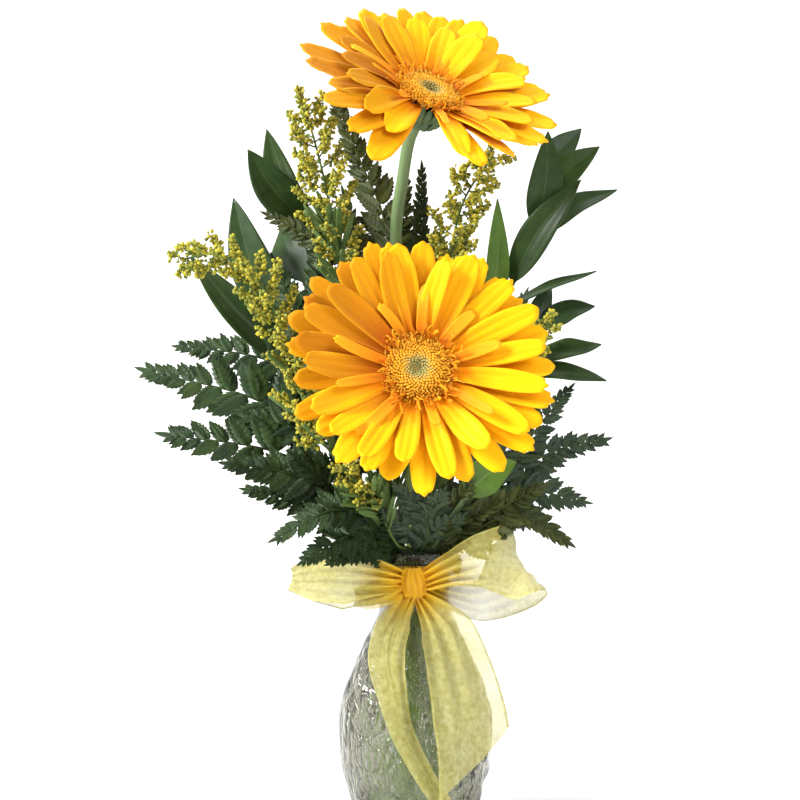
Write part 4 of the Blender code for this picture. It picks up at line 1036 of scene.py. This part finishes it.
def frond(skin, path, normal, start, biggest):
    """An axis with leaflets on both sides from a share of its length on, smaller towards the tip."""
    run = run_of(path)[-1]
    span = run * (1 - start)
    normal = unit(normal)
    at = start * run
    hand = 1
    while at < run - 1.5 * MM:
        place = (at - start * run) / span
        grown = 0.78 + 0.22 * min(1.0, place * 6 + 0.2)
        size = 1.18 * biggest * MM * (1 - 0.78 * place) * grown * between(0.9, 1.1)
        for sign in (hand, -hand):
            point, forward = on_path(path, min(1.0, at / run))
            out = unit(np.cross(normal, forward)) * sign
            lean = math.radians(58 - 26 * place + between(-5, 5))
            heading = unit(out * math.sin(lean) + forward * math.cos(lean))
            leaflet(skin, point, heading, normal, size, size * 0.50, teeth=7 if size > 11 * MM else 5)
            at += max(0.175 * size, 0.95 * MM)
        hand = -hand
    point, forward = on_path(path, 1.0)
    leaflet(skin, point - forward * 2 * MM, forward, normal, 0.34 * biggest * MM + 2 * MM,
            0.14 * biggest * MM)


def make_fern(name, slot, route, faces, leaflets, size, finish, fronds=()):
    """The main frond from a share of its stem on, and side fronds given as (share, tip, leaflet size)."""
    path = smooth_path(stem_route(slot, over_neck(route)), 100)
    normal = unit(faces)
    skin = Skin()
    radii = np.interp(np.linspace(0, 1, 100), [0, leaflets, 1], [0.95, 0.9, 0.3]) * MM
    skin.tube(path, radii, 0.9)
    frond(skin, path, normal, leaflets, size)
    for share, tip, biggest in fronds:
        start = on_path(path, share)[0]
        end = over_neck(tip)
        middle = start + (end - start) * 0.45 + (0, 0, 0.06 * np.linalg.norm(end - start))
        branch = smooth_path([start, middle, end], 30)
        skin.tube(branch, np.linspace(0.75, 0.25, 30) * MM, 0.9, sides=6)
        frond(skin, branch, normal + rng.normal(0, 0.08, 3), 0.16, biggest)
    skin.build(name + "_frond", finish, [name])


# ---------------------------------------------------------------- ruscus
# Each leaf: its share of the stem, tip, width and bow in millimetres, and the way it faces
RUSCUS_BRANCHES = {
    "ruscus_left": dict(
        slot=(0.80, 165), route=[(-20, 2, 35), (-35, 2, 70), (-47, 3, 98), (-48, 4, 125), (-44, 7, 150),
                                 (-42, 10, 162)],
        leaves=[(0.74, (-97.5, -7, 144), 17, 5, (0.3, -1, 0.5)),
                (0.79, (-80.4, 13, 169.6), 21, 5, (-0.3, -1, 0.1)),
                (0.975, (-73.6, 10, 190.8), 18, 4, (0.2, -1, 0.4)),
                (0.94, (-66.3, 24, 200.5), 15, 3, (0, -1, 0.3)),
                (0.88, (-58, 40, 166), 17, 4, (-0.5, 0.3, 1))],
    ),
    "ruscus_right_upper": dict(
        slot=(0.80, 30), route=[(14, 4, 50), (23, 3, 90), (34, 1, 118), (45.3, -1, 137.5), (53.2, 1, 160),
                                (57, 6, 176)],
        leaves=[(0.915, (56.9, -10, 197.6), 15, -2, (0.1, -1, 0)),
                (0.99, (74.1, 20, 200.5), 13, 3, (-0.2, -1, 0)),
                (0.965, (80.9, 7, 192), 13, 2, (-0.2, -1, 0.2)),
                (0.905, (89.2, 10, 173.2), 12, 3, (0, -0.7, 0.7)),
                (0.82, (70.8, -13, 177), 15, 2, (-0.4, -1, 0.2)),
                (0.79, (78.8, -5, 137.7), 9, -3, (0, -0.4, 1)),
                (0.74, (35.5, -8, 169), 11, -2, (0.3, -1, 0))],
    ),
    "ruscus_right_lower": dict(
        slot=(0.80, 8), route=[(17, 0, 35), (30, -3, 65), (43, -5, 88), (51, -4, 105), (54, -3, 116)],
        leaves=[(0.975, (78.5, -3, 122.4), 12, 3, (-0.2, -0.8, 0.6)),
                (0.93, (81, -8, 105.9), 13, -2, (0, -0.6, 0.8)),
                (0.89, (83.7, -5, 89.9), 10, 2, (0, -0.7, 0.7)),
                (0.955, (60, 6, 131), 11, 2, (0.3, -1, 0)), (0.84, (54, -13, 70), 10, 2, (0.2, -1, 0.3))],
    ),
    "ruscus_low": dict(
        slot=(0.80, 302), route=[(8.5, -14, 19), (15, -21, 31), (21, -24, 40)],
        leaves=[(1.0, (43, -27, 57), 16, 3, (0.1, -1, 0.2))],
    ),
}
BRIGHT = {"ruscus_low_leaf_1", "ruscus_right_upper_leaf_7"}


def make_leaf(name, start, tip, width, bow, faces):
    """A glossy lance-shaped leaf with lengthwise veins, a keel along the middle and a waved edge."""
    normal = unit(faces)
    reach = tip - start
    across = unit(np.cross(normal, reach))
    middle = start + reach * 0.5 + across * bow + normal * 0.05 * np.linalg.norm(reach)
    rows, columns = 30, 15
    path = smooth_path([start, middle, tip], rows)
    along = unit(np.gradient(path, axis=0))
    s = np.linspace(0, 1, rows)
    stalk = 0.09
    place = np.clip((s - stalk) / (1 - stalk), 0, 1)
    half = np.maximum(0.6 * MM, width / 2 * np.sin(math.pi * place**0.78) ** 0.85)
    half[-1] = 0.25 * MM
    side = unit(np.cross(normal, along))
    up = np.cross(along, side)
    u = np.linspace(-1, 1, columns)
    waving = between(0.3, 1.0) * MM * np.sin(s[:, None] * between(7, 11) + between(0, 6))
    wave = waving * np.abs(u)[None] ** 2
    veins = 0.10 * MM * np.cos(u[None] * math.pi * 5) * np.sin(math.pi * place)[:, None]
    keel = 0.16 * np.abs(half[:, None] * u[None])
    raised = keel + wave * (half / half.max())[:, None] + veins
    out = side[:, None] * (half[:, None] * u[None])[..., None]
    surface = path[:, None] + out + up[:, None] * raised[..., None]
    skin = Skin()
    skin.slab(surface, LEAF_THICKNESS, between(0, 1))
    skin.build(name + "_blade", BRIGHT_LEAVES if name in BRIGHT else RUSCUS_LEAVES, [name])


def make_ruscus():
    for branch, plan in RUSCUS_BRANCHES.items():
        route = stem_route(plan["slot"], over_neck(plan["route"]))
        path = make_stem(branch + "_stem", route, BRANCH_RADIUS, BRANCH_STEM, sides=10)
        for number, (share, tip, width, bow, faces) in enumerate(plan["leaves"], 1):
            start = on_path(path, share)[0]
            make_leaf(f"{branch}_leaf_{number}", start, over_neck(tip), width * MM, bow * MM, faces)


# ---------------------------------------------------------------- goldenrod
GOLDENROD_SPRIGS = {
    "goldenrod_left": dict(
        slot=(0.53, 195), route=[(-16, -12, 28), (-32, -25, 55), (-45, -30, 75), (-50, -31, 95),
                                 (-56, -31, 113), (-66, -31, 134), (-82, -31, 145), (-99, -31, 143)],
        plumes=0.62, reach=13,
    ),
    "goldenrod_top": dict(
        slot=(0.52, 160), route=[(-14, 1, 50), (-25, -3, 100), (-33, -7, 145), (-40, -6, 180),
                                 (-48, -3, 210)],
        plumes=0.76, reach=15, foliage=2.4,
    ),
    "goldenrod_centre": dict(
        slot=(0.54, 25), route=[(9, 0, 60), (11, -3, 110), (15, -5, 142), (21, -4, 168), (34, 0, 188)],
        plumes=0.70, reach=13,
    ),
    "goldenrod_low": dict(
        slot=(0.80, 252), route=[(-8, -18, 20), (-16, -29, 36), (-24, -38, 48), (-31, -40, 57)],
        plumes=0.85, reach=6, foliage=1.0,
    ),
    "goldenrod_right": dict(
        slot=(0.53, -12), route=[(14, -5, 30), (28, -12, 62), (44, -14, 92), (55, -14, 111), (59, -13, 118)],
        plumes=0.88, reach=6,
    ),
}
BUDS_AT_A_STEP = 5
GOLDENROD_BUD = [(0.0, 0.45), (0.25, 0.95), (0.6, 1.0), (0.88, 0.62), (1.0, 0.2)]


def make_goldenrod(name, slot, route, plumes, reach, foliage=0.3):
    """Arching side shoots crowded with small round buds, and narrow blades along the stem.

    plumes is the share of the stem where the shoots begin and reach their length in mm.
    """
    path = smooth_path(stem_route(slot, over_neck(route)), 120)
    length = run_of(path)[-1]
    skin = Skin()
    skin.tube(path, np.linspace(0.9, 0.45, 120) * MM, 0.0, sides=8)
    centres, directions, sizes = [], [], []
    count = max(9, round((1 - plumes) * length / (2.3 * MM)))
    for k in range(count):
        share = plumes + (1 - plumes) * (k + 0.5) / count
        start, forward = on_path(path, share)
        about = k * 2.4 + between(-0.4, 0.4)
        side = unit(np.cross(forward, (0.2, 0.9, 0.3)))
        out = side * math.cos(about) + np.cross(forward, side) * math.sin(about)
        full = 0.55 + 0.45 * math.sin(math.pi * (0.15 + 0.85 * (k + 0.5) / count))
        run = reach * MM * full * between(0.75, 1.15)
        tip = start + out * run * 0.80 + forward * run * 0.62
        bend = start + out * run * 0.45 + forward * run * 0.22
        shoot = smooth_path([start, bend, tip], 10)
        skin.tube(shoot, np.linspace(0.42, 0.22, 10) * MM, 0.05, sides=6)
        for at in np.linspace(0.25, 1.0, max(4, round(run / (1.0 * MM)))):
            foot, lead = on_path(shoot, at)
            for _ in range(BUDS_AT_A_STEP):
                away = unit(rng.normal(0, 1, 3) + lead * 0.8 + out * 0.3)
                stalk = between(0.4, 2.2) * MM
                centres.append(foot + away * stalk)
                directions.append(away)
                sizes.append(between(0.62, 1.08) * MM)
                if stalk > 1.1 * MM:
                    ends = [foot, foot + away * stalk * 0.5, foot + away * stalk * 1.1]
                    skin.tube(np.array(ends), 0.14 * MM, 0.1, sides=4)
    for k in range(round(foliage * length / (6 * MM))):
        share = between((VASE_HEIGHT + 4 * MM) / length, 0.7 * plumes + 0.3)
        start, forward = on_path(path, share)
        about = between(0, 2 * math.pi)
        side = unit(np.cross(forward, (0.2, 0.9, 0.3)))
        out = unit(side * math.cos(about) + np.cross(forward, side) * math.sin(about) + forward * 1.5)
        blade = petal(between(12, 24) * MM, between(1.3, 2.6) * MM, between(-4, 4),
                      between(-24, 24), rows=12, columns=5, waist=0.5, rib=0.0, tooth=0.0, cup=0.25)
        across = unit(np.cross(out, (0.1, 1.0, 0.2)))
        placed = start + blade @ np.stack([across, out, np.cross(across, out)])
        skin.slab(placed, 0.3 * MM, 0.0)
    sizes = np.array(sizes)
    tones = between(0.10, 1.0, len(sizes))
    skin.buds(np.array(centres), np.array(directions), sizes * 1.9, sizes * 0.8, tones, GOLDENROD_BUD)
    skin.build(name + "_spray", GOLDENROD, [name])


# ---------------------------------------------------------------- studio
WALL_FROM = 0.5  # where the floor starts to curve up, and the radius of that curve
WALL_CURVE = 1.6
SKY = 0.42
CAMERA_PLACE = (-6.6 * MM, -780 * MM, 265 * MM)
CAMERA_TILT = 84.8
CAMERA_LENS = 80
# name, place, size, power and aim of each light
LIGHTS = (
    ("key", (-1.30, -0.44, 1.10), 0.65, 58.0, (0, -0.03, 0.2)),
    ("fill", (0.9, -0.9, 1.1), 0.9, 15.0, (0, 0, 0.2)),
    ("backdrop", (0.0, 0.5, 1.7), 0.9, 16.0, (0, 1.9, 0.5)),
)


def make_studio():
    """A pale floor that curves up into a pale wall, a soft key from the upper left, and the camera."""
    curve = [(WALL_FROM + WALL_CURVE * math.sin(a), WALL_CURVE - WALL_CURVE * math.cos(a))
             for a in np.linspace(0.05, math.pi / 2, 24)]
    rows = [(-2.5, 0.0), (WALL_FROM, 0.0), *curve, (WALL_FROM + WALL_CURVE, 3.5)]
    surface = np.array([[(x, y, z) for x in (-4.0, 4.0)] for y, z in rows])
    mesh = bpy.data.meshes.new("studio_floor")
    mesh.from_pydata(surface.reshape(-1, 3).tolist(), [], grid_quads(len(rows), 2).tolist())
    mesh.shade_smooth()
    floor = bpy.data.objects.new("studio_floor", mesh)
    bpy.context.scene.collection.objects.link(floor)
    finish = Finish("studio_paper", Roughness=0.9)
    finish.set("Base Color", finish.mix(finish.noise(3.0), (0.86, 0.86, 0.85, 1), (0.90, 0.90, 0.89, 1)))
    mesh.materials.append(finish.material)
    world = bpy.data.worlds.new("studio")
    world.use_nodes = True
    world.node_tree.nodes["Background"].inputs["Color"].default_value = (1.0, 1.0, 1.0, 1)
    world.node_tree.nodes["Background"].inputs["Strength"].default_value = SKY
    bpy.context.scene.world = world
    for name, place, size, power, aim in LIGHTS:
        light = bpy.data.lights.new(name, "AREA")
        light.shape = "DISK"
        light.size = size
        light.energy = power
        lamp = bpy.data.objects.new(name, light)
        lamp.location = place
        lamp.rotation_euler = (Vector(aim) - Vector(place)).to_track_quat("-Z", "Y").to_euler()
        bpy.context.scene.collection.objects.link(lamp)
    camera = bpy.data.cameras.new("camera")
    camera.sensor_width = 36
    camera.lens = CAMERA_LENS
    seen = bpy.data.objects.new("camera", camera)
    seen.location = CAMERA_PLACE
    seen.rotation_euler = (math.radians(CAMERA_TILT), 0, 0)
    bpy.context.scene.collection.objects.link(seen)
    bpy.context.scene.camera = seen
    bpy.context.scene.view_settings.view_transform = "Standard"


make_studio()
make_vase()
make_water()
make_band()
make_knot()
make_loops()
make_tails()
make_gerberas()
for fern, plan in FERNS.items():
    make_fern(fern, **plan)
make_ruscus()
for sprig, plan in GOLDENROD_SPRIGS.items():
    make_goldenrod(sprig, **plan)
